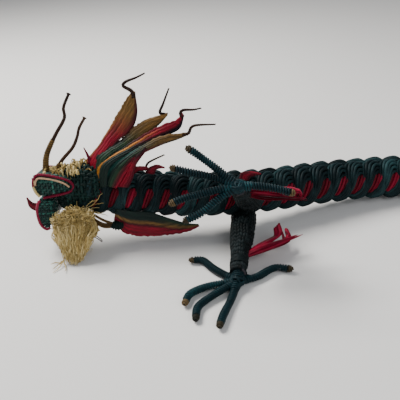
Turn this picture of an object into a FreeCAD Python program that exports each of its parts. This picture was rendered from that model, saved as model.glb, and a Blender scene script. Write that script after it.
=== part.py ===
import FreeCAD, Part
import math
import os

# A hand-knotted cord dragon, lying on a flat surface.
# Millimetres.  +Z is up, the tail points along +X, the head along -X, and the
# dragon's left side faces -Y.  The origin is on the flat of the belly where the
# body rests, below the middle of its sideways curve.

Vector = FreeCAD.Vector
doc = FreeCAD.newDocument("CordDragon")
sheet = doc.addObject("Spreadsheet::Sheet", "dims")

SIZES = [
    ("body_half_height", 18.0, "knotted body, back to belly"),
    ("body_half_width", 15.0, "knotted body, side to side"),
    ("core_radius", 6.0, "red core rope"),
    ("ball_radius", 13.5, "rounded body end at a bend"),
    ("ball_gap", 0.3, "clearance round a rounded end"),
    ("bend_gap", 7.0, "length left free beside a bend"),
    ("roll_angle", 12.0, "lean of the back away from the left side, degrees"),
    ("rest_height", 17.2, "body centre above the table where it lies flat"),
    ("rise_start", -23.0, "where the body starts to rise towards the head"),
    ("rise_blend", 20.0, "softness of that start"),
    ("rise_slope", 0.1, "rise towards the head, mm per mm"),
    ("sway_width", 42.0, "sideways curve of the body"),
    ("sway_length", 396.0, "length of that curve"),
    ("neck_bend_x", -203.0, "neck joint"),
    ("shoulder_x", -148.0, "front limbs"),
    ("hip_x", 102.0, "hind limbs"),
    ("tail_bend_x", 152.0, "tail joint"),
    ("taper_start_x", 140.0, "start of the tail's taper"),
    ("tail_end_x", 282.0, "end of the knotted tail"),
    ("tail_end_scale", 0.45, "size of the tail's end against the body"),
    ("limb_root_radius", 9.5, "top of a knitted limb"),
    ("wrist_radius", 6.4, "lower end of a knitted limb"),
    ("wrist_ball_radius", 5.0, "rounded root of a palm"),
    ("palm_radius", 6.4, "palm knot"),
    ("palm_reach", 10.0, "wrist centre to palm centre"),
    ("arm_wire_radius", 1.2, "wire inside a limb"),
    ("finger_radius", 2.8, "thread-wrapped finger"),
    ("finger_wire_radius", 0.9, "wire inside a finger"),
    ("binding_wall", 1.3, "thread binding at a wrist"),
    ("binding_length", 5.0, "thread binding at a wrist"),
    ("blade_thickness", 1.8, "painted leather blade"),
    ("fin_thickness", 2.0, "small fins and tongue"),
    ("upper_jaw_width", 24.0, "upper jaw, side to side"),
    ("lower_jaw_width", 18.0, "lower jaw, side to side"),
    ("piping_radius", 0.9, "red piping"),
    ("lip_cord_radius", 0.6, "cream cord beside the piping"),
    ("horn_radius", 2.6, "bound base of a horn"),
    ("horn_tip_radius", 1.3, "free end of a horn"),
    ("tendril_radius", 0.7, "wire tendril"),
]

for row, (alias, value, note) in enumerate(SIZES, start=1):
    sheet.set("A%d" % row, note)
    sheet.set("B%d" % row, str(value))
    sheet.setAlias("B%d" % row, alias)
doc.recompute()


def size(alias):
    return float(sheet.get(alias))


ROLL = math.radians(size("roll_angle"))
DORSAL = Vector(0, math.sin(ROLL), math.cos(ROLL))
LEFT = Vector(0, -math.cos(ROLL), math.sin(ROLL))
NODES = []


def node(part, name):
    """Names a finished sub-part and puts it on the list to be written."""
    part.Label = name
    NODES.append(part)
    return part


# ---------------------------------------------------------------- the spine

def spine_scale(x):
    start, end = size("taper_start_x"), size("tail_end_x")
    along = max(0.0, min(1.0, (x - start) / (end - start)))
    return 1.0 - (1.0 - size("tail_end_scale")) * along


def spine_point(x):
    half = size("sway_length") / 2
    swayed = math.sin(math.pi * min(abs(x), half) / (2 * half)) ** 2
    ahead = size("rise_start") - x
    rise = size("rise_slope") * (math.hypot(ahead, size("rise_blend")) + ahead) / 2
    z = size("rest_height") * spine_scale(x) + rise
    return Vector(x, -size("sway_width") * swayed, z)


def spine_axes(x):
    tangent = (spine_point(x + 0.5) - spine_point(x - 0.5)).normalize()
    left = tangent.cross(DORSAL).normalize()
    return left.cross(tangent), left, tangent


def spine_placement(x):
    dorsal, left, tangent = spine_axes(x)
    return FreeCAD.Placement(spine_point(x), FreeCAD.Rotation(dorsal, left, tangent, "ZXY"))


def off_spine(x, up, left):
    """A point beside the spine: up towards the back, left towards the left side."""
    dorsal, side, _ = spine_axes(x)
    return spine_point(x) + dorsal * up + side * left


def stations(start, end, spacing=18.0):
    count = max(3, round((end - start) / spacing) + 1)
    return [start + (end - start) * i / (count - 1) for i in range(count)]


def loft(name, sections):
    part = doc.addObject("Part::Loft", name)
    part.Sections = sections
    part.Solid = True
    part.Ruled = False
    return part


def oval_body(name, start, end):
    """Oval stretch of the knotted body."""
    rings = []
    for i, x in enumerate(stations(start, end)):
        ring = doc.addObject("Part::Ellipse", "%s_ring_%d" % (name, i))
        ring.setExpression("MajorRadius", "dims.body_half_height * %.4f" % spine_scale(x))
        ring.setExpression("MinorRadius", "dims.body_half_width * %.4f" % spine_scale(x))
        ring.Placement = spine_placement(x)
        rings.append(ring)
    return loft(name, rings)


def round_core(name, start, end):
    """Round stretch of the core rope, or of the bore it lies in."""
    rings = []
    for i, x in enumerate(stations(start, end)):
        ring = doc.addObject("Part::Circle", "%s_ring_%d" % (name, i))
        ring.setExpression("Radius", "dims.core_radius * %.4f" % spine_scale(x))
        ring.Placement = spine_placement(x)
        rings.append(ring)
    return loft(name, rings)


def ball(name, centre, radius_expression):
    part = doc.addObject("Part::Sphere", name)
    part.setExpression("Radius", radius_expression)
    part.Placement = FreeCAD.Placement(centre, FreeCAD.Rotation())
    return part


def along(point, direction):
    """Placement with its Z axis along a direction."""
    return FreeCAD.Placement(point, FreeCAD.Rotation(Vector(0, 0, 1), direction))


def fuse(name, parts):
    part = doc.addObject("Part::MultiFuse", name)
    part.Shapes = parts
    return part


def cut(name, base, tools):
    part = doc.addObject("Part::Cut", name)
    part.Base = base
    part.Tool = tools[0] if len(tools) == 1 else fuse(name + "_tools", tools)
    return part


# ------------------------------------------------------- bent wires and rods

def rod_wire(points):
    """Straight runs joined by tangent arcs as large as the runs allow."""
    edges = []
    start = points[0]
    for before, corner, after in zip(points, points[1:], points[2:]):
        inward = (before - corner).normalize()
        outward = (after - corner).normalize()
        half_turn = (math.pi - inward.getAngle(outward)) / 2
        reach = 0.45 * min(before.distanceToPoint(corner), after.distanceToPoint(corner))
        radius = reach / math.tan(half_turn)
        first, last = corner + inward * reach, corner + outward * reach
        middle_way = (inward + outward).normalize()
        middle = corner + middle_way * (radius / math.cos(half_turn) - radius)
        edges.append(Part.LineSegment(start, first).toShape())
        edges.append(Part.Arc(first, middle, last).toShape())
        start = last
    edges.append(Part.LineSegment(start, points[-1]).toShape())
    return Part.Wire(edges)


TIP_INSET = 0.97


def rod(points, radius, rounded=True):
    """Round rod along the points, with a rounded far end."""
    ring = Part.Wire(Part.makeCircle(radius, points[0], points[1] - points[0]))
    solid = rod_wire(points).makePipeShell([ring], True, True)
    if rounded:
        solid = solid.fuse(Part.makeSphere(radius * TIP_INSET, points[-1]))
    return solid


def shape_node(name, shape):
    part = doc.addObject("Part::Feature", name)
    part.Shape = shape
    return node(part, name)


# -------------------------------------------------------------- flat blades

def flat_blade(name, outline, thickness, middle, curved=True):
    """Flat piece in the plane of the head: the outline's sides run from the
    root to the tip and back, in head coordinates, and middle is how far its
    own middle lies to the left of the head's."""
    body = doc.addObject("PartDesign::Body", name)
    sketch = body.newObject("Sketcher::SketchObject", name + "_outline")
    planes = [f for f in body.Origin.OriginFeatures if f.Role == "XZ_Plane"]
    sketch.AttachmentSupport = [(planes[0], "")]
    sketch.MapMode = "FlatFace"
    for side in outline:
        points = [Vector(x, height - HEAD_AXIS, 0) for x, height in side]
        if len(points) > 2 and curved:
            curve = Part.BSplineCurve()
            curve.interpolate(points)
            sketch.addGeometry(curve)
        else:
            for first, last in zip(points, points[1:]):
                sketch.addGeometry(Part.LineSegment(first, last))
    pad = body.newObject("PartDesign::Pad", name + "_pad")
    pad.Profile = sketch
    pad.setExpression("Length", thickness)
    offset = middle - size(thickness.split(".")[1]) / 2
    turn = FreeCAD.Rotation(Vector(1, 0, 0), -size("roll_angle"))
    body.Placement = FreeCAD.Placement(HEAD_ORIGIN + LEFT * offset, turn)
    return node(body, name)


# The head's own coordinates: x along the body from the shoulder, height up the
# back's direction, and left towards the left side.
HEAD_AXIS = 48.0
HEAD_ORIGIN = Vector(size("shoulder_x"), -size("sway_width"), HEAD_AXIS)


def head_point(x, height, left=0.0):
    return HEAD_ORIGIN + Vector(x, 0, 0) + DORSAL * (height - HEAD_AXIS) + LEFT * left


def shoulder_point(x, y, z):
    """A point counted from below the shoulder, on the table."""
    return Vector(size("shoulder_x") + x, -size("sway_width") + y, z)


# ------------------------------------------------------------------- limbs

LIMB_CUP_DEPTH = 15.0
TUFT_SETBACK = 12.0
LIMB_CUP_FLARE = math.tan(math.radians(22))

# A hand lying flat: each finger's bends and tip, counted from the palm.
FLAT_HAND = [
    [(-15, 16), (-24, 28), (-32, 29)],
    [(-19, -2), (-33, -9), (-37, -18)],
    [(-17, -12), (-28, -22), (-30, -33)],
    [(-6, -17), (-12, -32), (-15, -41)],
    [(14, 5), (28, 14), (39, 12)],
]
FLAT_FINGER_HEIGHT = 3.4


def flat_fingers(palm, side, turn):
    """The flat hand's fingers about a palm: side is 1, or -1 for its mirror
    image, and turn is in degrees."""
    cos, sin = math.cos(math.radians(turn)), math.sin(math.radians(turn))
    return [[Vector(palm.x + x * cos - y * sin, palm.y + side * (x * sin + y * cos), FLAT_FINGER_HEIGHT)
             for x, y in finger] for finger in FLAT_HAND]


def raised_fingers():
    """Fingers of the near front hand, which is held up in the air."""
    return [[shoulder_point(*p) for p in finger] for finger in [
        [(-24, -51, 83), (-35, -47, 91), (-41, -45, 95)],
        [(-24, -54, 77), (-41, -52, 81), (-52, -50, 84)],
        [(-27, -59, 70), (-43, -60, 67), (-54, -62, 64)],
        [(-24, -62, 65), (-35, -66, 58), (-45, -68, 54)],
        [(2, -59, 72), (15, -61, 70.5), (25, -63, 68)],
    ]]


RIGHT_PALM = shoulder_point(-12, -73, 8.2)
LEFT_FOOT_PALM = Vector(88, -78, 8.2)
RIGHT_FOOT_PALM = Vector(100, 55, 8.2)
LIMBS = {
    "left_arm": dict(
        hand="left_hand",
        root=off_spine(size("shoulder_x"), 0.0, 16.3),
        palm=shoulder_point(-10, -58, 72),
        knuckle_drop=0.0,
        fingers=raised_fingers(),
        tuft=shoulder_point(31, -44, 59),
    ),
    "right_arm": dict(
        hand="right_hand",
        root=off_spine(size("shoulder_x"), -16.3, 3.0),
        palm=RIGHT_PALM,
        knuckle_drop=3.8,
        fingers=flat_fingers(RIGHT_PALM, 1, 0),
        tuft=shoulder_point(31, -30, 15),
    ),
    "left_leg": dict(
        hand="left_foot",
        root=off_spine(size("hip_x"), -2.0, 16.3),
        palm=LEFT_FOOT_PALM,
        knuckle_drop=3.8,
        fingers=flat_fingers(LEFT_FOOT_PALM, 1, 6),
        tuft=Vector(126, -63, 14),
    ),
    "right_leg": dict(
        hand="right_foot",
        root=off_spine(size("hip_x"), -2.0, -16.3),
        palm=RIGHT_FOOT_PALM,
        knuckle_drop=3.8,
        fingers=flat_fingers(RIGHT_FOOT_PALM, -1, 3),
        tuft=Vector(141, 22, 15),
    ),
}


def limb_directions(limb):
    reach = limb["palm"] - limb["root"]
    length = reach.Length
    return reach.normalize(), length


def limb_cup(name, limb):
    """Hollow in the body that a limb's rounded root turns in."""
    way, _ = limb_directions(limb)
    hollow = ball(name + "_cup_ball", limb["root"], "dims.limb_root_radius + 1.5 * dims.ball_gap")
    flare = doc.addObject("Part::Cone", name + "_cup_flare")
    flare.setExpression("Radius1", "dims.limb_root_radius + dims.ball_gap")
    flare.setExpression("Radius2", "dims.limb_root_radius + %.3f" % (LIMB_CUP_DEPTH * LIMB_CUP_FLARE))
    flare.Height = LIMB_CUP_DEPTH
    flare.Placement = along(limb["root"], way)
    return [hollow, flare]


def limb_sleeve(name, limb):
    """Knitted sleeve: rounded root, tapered tube, hollow end for the palm."""
    way, length = limb_directions(limb)
    wrist = limb["palm"] - way * size("palm_reach")
    root = ball(name + "_root", limb["root"], "dims.limb_root_radius")
    tube = doc.addObject("Part::Cone", name + "_tube")
    tube.setExpression("Radius1", "dims.limb_root_radius * 0.9")
    tube.setExpression("Radius2", "dims.wrist_radius")
    tube.Height = length - size("palm_reach") - 1.0
    tube.Placement = along(limb["root"], way)
    whole = fuse(name + "_whole", [root, tube])
    socket = ball(name + "_socket", wrist, "dims.wrist_ball_radius + dims.ball_gap")
    wire = doc.addObject("Part::Cylinder", name + "_wire")
    wire.setExpression("Radius", "dims.arm_wire_radius")
    wire.Height = length - size("palm_reach") - size("wrist_ball_radius") - 1.0
    wire.Placement = along(limb["root"], way)
    bore = doc.addObject("Part::Cylinder", name + "_bore")
    bore.setExpression("Radius", "dims.arm_wire_radius")
    bore.Height = length - size("palm_reach")
    bore.Placement = along(limb["root"], way)
    node(cut(name + "_cut", whole, [socket, bore]), name + "_sleeve")
    node(wire, name + "_wire")

    band = doc.addObject("Part::Cylinder", name + "_band")
    band.setExpression("Radius", "dims.wrist_radius + dims.binding_wall")
    band.setExpression("Height", "dims.binding_length")
    band.Placement = along(wrist - way * (size("binding_length") + 3.0), way)
    node(cut(name + "_band_cut", band, [whole]), name + "_binding")

    start = wrist - way * TUFT_SETBACK
    end = limb["tuft"]
    spray = doc.addObject("Part::Cone", name + "_spray")
    spray.Radius1 = 2.0
    spray.Radius2 = 7.0
    spray.Height = start.distanceToPoint(end)
    spray.Placement = along(start, (end - start).normalize())
    node(cut(name + "_spray_cut", spray, [whole, band]), name + "_tuft")


def hand(limb):
    """Palm knot with its rounded root, and five wrapped wire fingers."""
    name = limb["hand"]
    way, _ = limb_directions(limb)
    wrist = limb["palm"] - way * size("palm_reach")
    root = ball(name + "_root", wrist, "dims.wrist_ball_radius")
    knot = ball(name + "_knot", limb["palm"], "dims.palm_radius")
    palm = node(fuse(name + "_fuse", [root, knot]), name + "_palm")
    doc.recompute()
    base = limb["palm"] - Vector(0, 0, limb["knuckle_drop"])
    fingers, wires = [], []
    for points in limb["fingers"]:
        path = [base] + points
        wrap = rod(path, size("finger_radius"))
        wire = rod(path, size("finger_wire_radius"), rounded=False).cut(palm.Shape)
        taken = palm.Shape
        for earlier in fingers:
            taken = taken.fuse(earlier)
        wrap = wrap.cut(taken)
        fingers.append(largest(wrap))
        wires.append(largest(wire))
    bored = [largest(f.cut(w)) for f, w in zip(fingers, wires)]
    shape_node(name + "_fingers", Part.makeCompound(bored))
    shape_node(name + "_finger_wires", Part.makeCompound(wires))


def largest(shape):
    return max(shape.Solids, key=lambda solid: solid.Volume)


# -------------------------------------------------------------------- head

PANEL = [(-160, 45), (-162, 52), (-161, 61), (-156, 64), (-145, 62), (-136, 59),
         (-131, 54), (-133, 49), (-145, 46.5)]
JAW = [(-161, 42), (-163, 35), (-163, 27), (-160, 20), (-155, 18), (-151, 24),
       (-147, 31), (-149, 38), (-155, 42)]


def closed(points):
    return [points + [points[0]]]


def head_parts():
    skull = doc.addObject("Part::Ellipsoid", "skull_form")
    skull.Radius1 = 20.0
    skull.Radius2 = 24.0
    skull.Radius3 = 14.0
    skull.Placement = FreeCAD.Placement(
        head_point(-124, 46), FreeCAD.Rotation(Vector(1, 0, 0), LEFT, DORSAL, "ZXY"))
    jaw = flat_blade("upper_jaw", closed(PANEL), "dims.upper_jaw_width", 0.0)
    node(cut("skull_cut", skull, [jaw]), "skull")
    flat_blade("lower_jaw_pad", closed(JAW), "dims.lower_jaw_width", 0.0)
    flat_blade("tongue", [
        [(-163.2, 36), (-167, 37.5), (-172, 43)],
        [(-172, 43), (-171, 35), (-167, 32), (-163.2, 31)],
        [(-163.2, 31), (-163.2, 36)],
    ], "dims.fin_thickness", 0.0)
    return skull


def outline_cord(points, radius, width, corners, scale=1.0):
    """Cord laid along the first corners of an outline, on both sides of a jaw."""
    middle_x = sum(p[0] for p in points) / len(points)
    middle_z = sum(p[1] for p in points) / len(points)
    cords = []
    for side in (1, -1):
        path = [head_point(middle_x + (x - middle_x) * scale, middle_z + (z - middle_z) * scale,
                           side * (width / 2 + radius)) for x, z in points[:corners]]
        cords.append(rod(path, radius))
    return Part.makeCompound(cords)


def horn(name, base, end):
    bound = rod(base, size("horn_radius"))
    free = rod([base[-1]] + end, size("horn_tip_radius"))
    shape_node(name, bound.fuse(free))


def head_trim():
    upper, lower = size("upper_jaw_width"), size("lower_jaw_width")
    piping = size("piping_radius")
    shape_node("upper_lip_piping", outline_cord(PANEL, piping, upper, len(PANEL)))
    shape_node("upper_lip_cord", outline_cord(PANEL, size("lip_cord_radius"), upper, 7, 0.8))
    shape_node("jaw_piping", outline_cord(JAW, piping, lower, 6))
    horn("left_horn",
         [head_point(-152, 62, 5), head_point(-151, 76, 5), head_point(-144, 86, 5)],
         [head_point(-132, 101, 5), head_point(-132, 110, 5), head_point(-127, 119, 5)])
    horn("right_horn",
         [head_point(-145, 60, -5), head_point(-141, 69, -5), head_point(-136, 75, -5)],
         [head_point(-129, 83, -5), head_point(-126, 91, -5), head_point(-120, 100, -5)])
    lock = doc.addObject("Part::Ellipsoid", "forelock_form")
    lock.Radius1 = 5.5
    lock.Radius2 = 13.0
    lock.Radius3 = 8.0
    lock.Placement = FreeCAD.Placement(
        head_point(-136, 65), FreeCAD.Rotation(Vector(1, 0, 0), LEFT, DORSAL, "ZXY"))
    node(lock, "forelock")
    spike = doc.addObject("Part::Cone", "spike_form")
    spike.Radius1 = 1.4
    spike.Radius2 = 0.4
    spike.Height = 14.0
    spike.Placement = along(head_point(-119, 64), DORSAL)
    node(spike, "head_spike")


def beard():
    """Sheaf of raffia from the throat down to the table, spread to the left."""
    levels = [
        (head_point(-131, 37, 13.0), 12.0, 4.5),
        (head_point(-132, 24, 22.0), 16.0, 6.0),
        (shoulder_point(-135, -38, 11), 15.0, 7.0),
        (shoulder_point(-138, -44, 3), 12.0, 5.0),
    ]
    rings = []
    fall = (levels[-1][0] - levels[0][0]).normalize()
    for i, (centre, half_length, half_width) in enumerate(levels):
        ring = doc.addObject("Part::Ellipse", "beard_ring_%d" % i)
        ring.MajorRadius = half_length
        ring.MinorRadius = half_width
        way = Vector(0, 0, -1) if i == len(levels) - 1 else fall
        ring.Placement = FreeCAD.Placement(
            centre, FreeCAD.Rotation(Vector(1, 0, 0), Vector(0, 1, 0), way, "ZXY"))
        rings.append(ring)
    sheaf = loft("beard_form", rings)
    sheaf.Ruled = True
    node(sheaf, "beard")


def crest():
    thickness = "dims.blade_thickness"
    flat_blade("crest_blade_1", [
        [(-121, 60), (-122, 68), (-111, 79), (-98, 97), (-88, 111), (-81, 119)],
        [(-81, 119), (-79.5, 110), (-79, 101), (-84, 91), (-98, 80), (-110, 66), (-112, 54)],
        [(-112, 54), (-121, 60)],
    ], thickness, -2.0)
    flat_blade("crest_blade_2", [
        [(-119, 57), (-112, 75), (-94, 83), (-82, 93), (-70, 99), (-57, 102)],
        [(-57, 102), (-60, 96), (-67, 90), (-89, 79), (-104, 70), (-110, 54)],
        [(-110, 54), (-119, 57)],
    ], thickness, 1.5)
    flat_blade("crest_blade_3", [
        [(-116, 56), (-110, 69), (-89, 79), (-65, 92), (-50, 97), (-45, 102)],
        [(-45, 102), (-46, 94), (-52, 87), (-68, 82), (-92, 74), (-104, 63), (-107, 52)],
        [(-107, 52), (-116, 56)],
    ], thickness, 5.0)
    flat_blade("crest_blade_4", [
        [(-112, 54), (-104, 66), (-86, 76), (-64, 85), (-42, 87)],
        [(-42, 87), (-52, 82), (-68, 78), (-84, 69), (-92, 56), (-101, 47)],
        [(-101, 47), (-112, 54)],
    ], thickness, 8.5)
    flat_blade("crest_fold", [
        [(-104, 46), (-95, 57), (-87, 68), (-73, 79)],
        [(-73, 79), (-83, 67), (-86, 56), (-92, 45)],
        [(-92, 45), (-104, 46)],
    ], thickness, 12.0)
    wires = [
        [(-82, 116, -2), (-87, 123, -2), (-85, 126, -1), (-71, 131, 2)],
        [(-59, 100, 1.5), (-62, 104, 2), (-54, 120, 4)],
        [(-46, 100, 5), (-47, 103, 5), (-43, 104, 6), (-31, 105, 8)],
        [(-43, 86, 8.5), (-40, 91, 9), (-34, 93, 10), (-21, 93, 12)],
        [(-76, 56, 0), (-73, 64, 0), (-61, 70, 1)],
    ]
    radius = size("tendril_radius")
    tendrils = [rod([head_point(*p) for p in wire], radius) for wire in wires]
    shape_node("crest_tendrils", Part.makeCompound(tendrils))


def fins():
    flat_blade("throat_fin", [
        [(-103, 27), (-101, 16), (-93, 7), (-80, 5.5)],
        [(-80, 5.5), (-62, 6), (-47, 8.5), (-37, 12)],
        [(-37, 12), (-48, 14.6), (-61, 16)],
        [(-61, 16), (-66, 24), (-103, 27)],
    ], "dims.fin_thickness", 5.0)
    flat_blade("neck_dorsal_fin", [
        [(-93, 52), (-86, 60), (-78, 60), (-74, 59), (-66, 61.5), (-63.5, 53), (-93, 52)],
    ], "dims.fin_thickness", 0.0, curved=False)
    flat_blade("trunk_dorsal_fin", [
        [(-4, 43), (-2, 52), (7, 53.5), (12, 42), (-4, 43)],
    ], "dims.fin_thickness", -6.0, curved=False)


# ------------------------------------------------------------- body stretches

def body_parts(skull):
    neck, tail = size("neck_bend_x"), size("tail_bend_x")
    gap = size("bend_gap")
    floor = doc.addObject("Part::Box", "table_space")
    floor.Length, floor.Width, floor.Height = 700, 300, 40
    floor.Placement = FreeCAD.Placement(Vector(-350, -150, -40), FreeCAD.Rotation())

    trunk = oval_body("trunk_oval", neck, tail)
    ends = [ball("trunk_front_ball", spine_point(neck), "dims.ball_radius"),
            ball("trunk_rear_ball", spine_point(tail), "dims.ball_radius")]
    bore = round_core("trunk_bore", neck - 20, tail + 20)
    cups = [tool for name, limb in LIMBS.items() for tool in limb_cup(name, limb)]
    node(cut("trunk_cut", fuse("trunk_whole", [trunk] + ends), [bore, floor] + cups), "trunk_sinnet")
    node(round_core("trunk_rope", neck - 10, tail + 10), "trunk_core")

    socket = "dims.ball_radius + dims.ball_gap"
    neck_end = size("shoulder_x") - 112
    neck_oval = oval_body("neck_oval", neck_end, neck - gap)
    neck_socket = ball("neck_socket", spine_point(neck), socket)
    neck_bore = round_core("neck_bore", neck_end, neck)
    node(cut("neck_cut", neck_oval, [neck_socket, neck_bore, skull]), "neck_sinnet")
    node(round_core("neck_rope", size("shoulder_x") - 99, neck - 16), "neck_core")

    tail_end = size("tail_end_x")
    tail_oval = oval_body("tail_oval", tail + gap, tail_end)
    tail_socket = ball("tail_socket", spine_point(tail), socket)
    tail_bore = round_core("tail_bore", tail, tail_end + 10)
    node(cut("tail_cut", tail_oval, [tail_socket, tail_bore, floor]), "tail_sinnet")
    node(round_core("tail_rope", tail + 16, tail_end - 2), "tail_core")

    band = doc.addObject("Part::Cylinder", "tail_band")
    band.setExpression("Radius", "dims.body_half_height * dims.tail_end_scale")
    band.Height = 8.0
    lifted = spine_point(tail_end) + Vector(0, 0, 1.0)
    band.Placement = FreeCAD.Placement(lifted, spine_placement(tail_end).Rotation)
    node(band, "tail_binding")


def tail_flame():
    """Three curved blades and their tendrils at the end of the tail."""
    root = size("tail_end_x") - size("shoulder_x") + 6
    height = 9.5
    for number, (lift, reach, side) in enumerate([(46, 52, -3.0), (20, 66, 0.0), (4, 50, 3.0)], start=1):
        tip = (root + reach, height + lift)
        upper = (root + reach * 0.45, height + lift * 0.62 + 7)
        lower = (root + reach * 0.6, height + lift * 0.38 - 2)
        flat_blade("tail_blade_%d" % number, [
            [(root, height + 5), upper, tip],
            [tip, lower, (root, height - 3)],
            [(root, height - 3), (root, height + 5)],
        ], "dims.blade_thickness", side)
    wires = [
        [(root + 51, height + 44, -3), (root + 48, height + 52, -3), (root + 60, height + 58, -4)],
        [(root + 64, height + 19.5, 0), (root + 72, height + 25, 0), (root + 84, height + 22, 1)],
        [(root + 48, height + 3.8, 3), (root + 56, height + 7, 3), (root + 66, height + 2, 4)],
    ]
    radius = size("tendril_radius")
    tendrils = [rod([head_point(*p) for p in wire], radius) for wire in wires]
    shape_node("tail_tendrils", Part.makeCompound(tendrils))


def check(part):
    if "Invalid" in part.State or "Error" in part.State:
        raise RuntimeError("%s failed: %s" % (part.Label, part.State))


skull_form = head_parts()
head_trim()
beard()
crest()
fins()
body_parts(skull_form)
tail_flame()
for limb_name, limb_plan in LIMBS.items():
    limb_sleeve(limb_name, limb_plan)
    hand(limb_plan)
doc.recompute()

for part in doc.Objects:
    check(part)
for part in NODES:
    if part.Shape.isNull() or not part.Shape.isValid():
        raise RuntimeError("%s has no valid shape" % part.Label)

os.makedirs("parts", exist_ok=True)
for part in NODES:
    part.Shape.exportStep("parts/%s.step" % part.Label)
    print("%-26s solids %d  volume %.0f" % (part.Label, len(part.Shape.Solids), part.Shape.Volume))
print(len(NODES), "nodes")
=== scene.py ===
import math
from types import SimpleNamespace

import bpy
import numpy as np
from mathutils import Matrix, Vector


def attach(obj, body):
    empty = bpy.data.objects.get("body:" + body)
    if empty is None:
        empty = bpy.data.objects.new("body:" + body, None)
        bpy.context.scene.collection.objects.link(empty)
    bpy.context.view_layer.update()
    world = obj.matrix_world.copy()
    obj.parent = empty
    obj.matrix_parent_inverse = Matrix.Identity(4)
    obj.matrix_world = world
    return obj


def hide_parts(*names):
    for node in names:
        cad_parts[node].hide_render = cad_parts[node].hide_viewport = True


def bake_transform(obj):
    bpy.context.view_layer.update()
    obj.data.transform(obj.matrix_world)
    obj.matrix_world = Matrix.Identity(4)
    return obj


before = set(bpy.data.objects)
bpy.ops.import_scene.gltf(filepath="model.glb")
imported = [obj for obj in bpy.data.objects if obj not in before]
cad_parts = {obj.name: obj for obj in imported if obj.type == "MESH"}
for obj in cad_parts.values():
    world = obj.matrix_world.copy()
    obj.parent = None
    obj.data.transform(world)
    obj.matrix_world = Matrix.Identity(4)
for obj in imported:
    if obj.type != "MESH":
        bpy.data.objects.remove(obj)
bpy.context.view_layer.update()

# Every shape below is worked out in millimetres in the model's frame and
# turned to metres as its mesh is made.
MM = 0.001
RNG = np.random.default_rng(11)

# ------------------------------------------------------------ the body's line

HALF_HEIGHT, HALF_WIDTH = 18.0, 15.0
HALF_GIRTH = math.pi * math.sqrt((HALF_HEIGHT ** 2 + HALF_WIDTH ** 2) / 2)
ROLL = math.radians(12)
DORSAL = np.array([0.0, math.sin(ROLL), math.cos(ROLL)])
LEFT = np.array([0.0, -math.cos(ROLL), math.sin(ROLL)])
SWAY_WIDTH, SWAY_LENGTH = 42.0, 396.0
REST_HEIGHT, RISE_START, RISE_BLEND, RISE_SLOPE = 17.2, -23.0, 20.0, 0.1
TAPER_START, TAIL_END, TAIL_SCALE = 140.0, 282.0, 0.45
NECK_X, SHOULDER_X, HIP_X, TAIL_X = -203.0, -148.0, 102.0, 152.0
NECK_START = SHOULDER_X - 122
HEAD_AXIS = 48.0


def spine_scale(x):
    share = np.clip((x - TAPER_START) / (TAIL_END - TAPER_START), 0, 1)
    return 1 - (1 - TAIL_SCALE) * share


def spine_point(x):
    x = np.asarray(x, float)
    swayed = np.sin(math.pi * np.minimum(np.abs(x), SWAY_LENGTH / 2) / SWAY_LENGTH) ** 2
    ahead = RISE_START - x
    rise = RISE_SLOPE * (np.hypot(ahead, RISE_BLEND) + ahead) / 2
    return np.stack([x, -SWAY_WIDTH * swayed, REST_HEIGHT * spine_scale(x) + rise], axis=-1)


def unit(v):
    return v / np.linalg.norm(v, axis=-1, keepdims=True)


def spine_axes(x):
    tangent = unit(spine_point(np.asarray(x) + 0.5) - spine_point(np.asarray(x) - 0.5))
    left = unit(np.cross(tangent, DORSAL))
    return np.cross(left, tangent), left, tangent


def body_surface(x, girth, side, depth):
    """Point on the body: girth mm round from the ridge of the back on one side
    (1 left, -1 right), depth mm below the outside of the cords."""
    scale = spine_scale(x)
    angle = girth / HALF_GIRTH * math.pi
    dorsal, left, _ = spine_axes(x)
    up = (HALF_HEIGHT * scale - depth) * np.cos(angle)
    out = (HALF_WIDTH * scale - depth) * np.sin(angle) * side
    return spine_point(x) + dorsal * up[:, None] + left * out[:, None]


def head_vector(x, height, left):
    return np.array([x, 0.0, 0.0]) + DORSAL * height + LEFT * left


def head_point(x, height, left=0.0):
    return np.array([SHOULDER_X, -SWAY_WIDTH, HEAD_AXIS]) + head_vector(x, height - HEAD_AXIS, left)


def shoulder_point(x, y, z):
    return np.array([SHOULDER_X + x, -SWAY_WIDTH + y, z], float)


def lerp(a, b, t):
    return a + (b - a) * t


def smoothstep(t):
    t = np.clip(t, 0, 1)
    return t * t * (3 - 2 * t)


def above_table(path, clearance):
    path[:, 2] = np.maximum(path[:, 2], clearance)
    return path


def distances(path):
    """How far along a path each of its points lies."""
    return np.concatenate([[0], np.cumsum(np.linalg.norm(np.diff(path, axis=0), axis=1))])


def sampled(at, length, values):
    return np.stack([np.interp(at, length, values[:, k]) for k in range(3)], axis=1)


def smooth_path(points, count):
    """Catmull-Rom curve through the points, evenly spaced."""
    p = np.array([np.asarray(q, float) for q in points])
    p = np.vstack([2 * p[0] - p[1], p, 2 * p[-1] - p[-2]])
    t = np.linspace(0, 1, 24, endpoint=False)[:, None]
    fine = []
    for a, b, c, d in zip(p, p[1:], p[2:], p[3:]):
        fine.append(0.5 * (2 * b + (c - a) * t + (2 * a - 5 * b + 4 * c - d) * t ** 2
                           + (3 * b - a - 3 * c + d) * t ** 3))
    fine = np.vstack(fine + [p[-2][None]])
    length = distances(fine)
    return sampled(np.linspace(0, length[-1], count), length, fine)


# ---------------------------------------------------------------- mesh makers

# Values kept at a mesh's points: a strand's tone, the place in its fibres, its paint.
POINT_VALUES = {
    "tone": ("FLOAT", "value"),
    "fibre": ("FLOAT_VECTOR", "vector"),
    "paint": ("FLOAT_COLOR", "color"),
}


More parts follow.
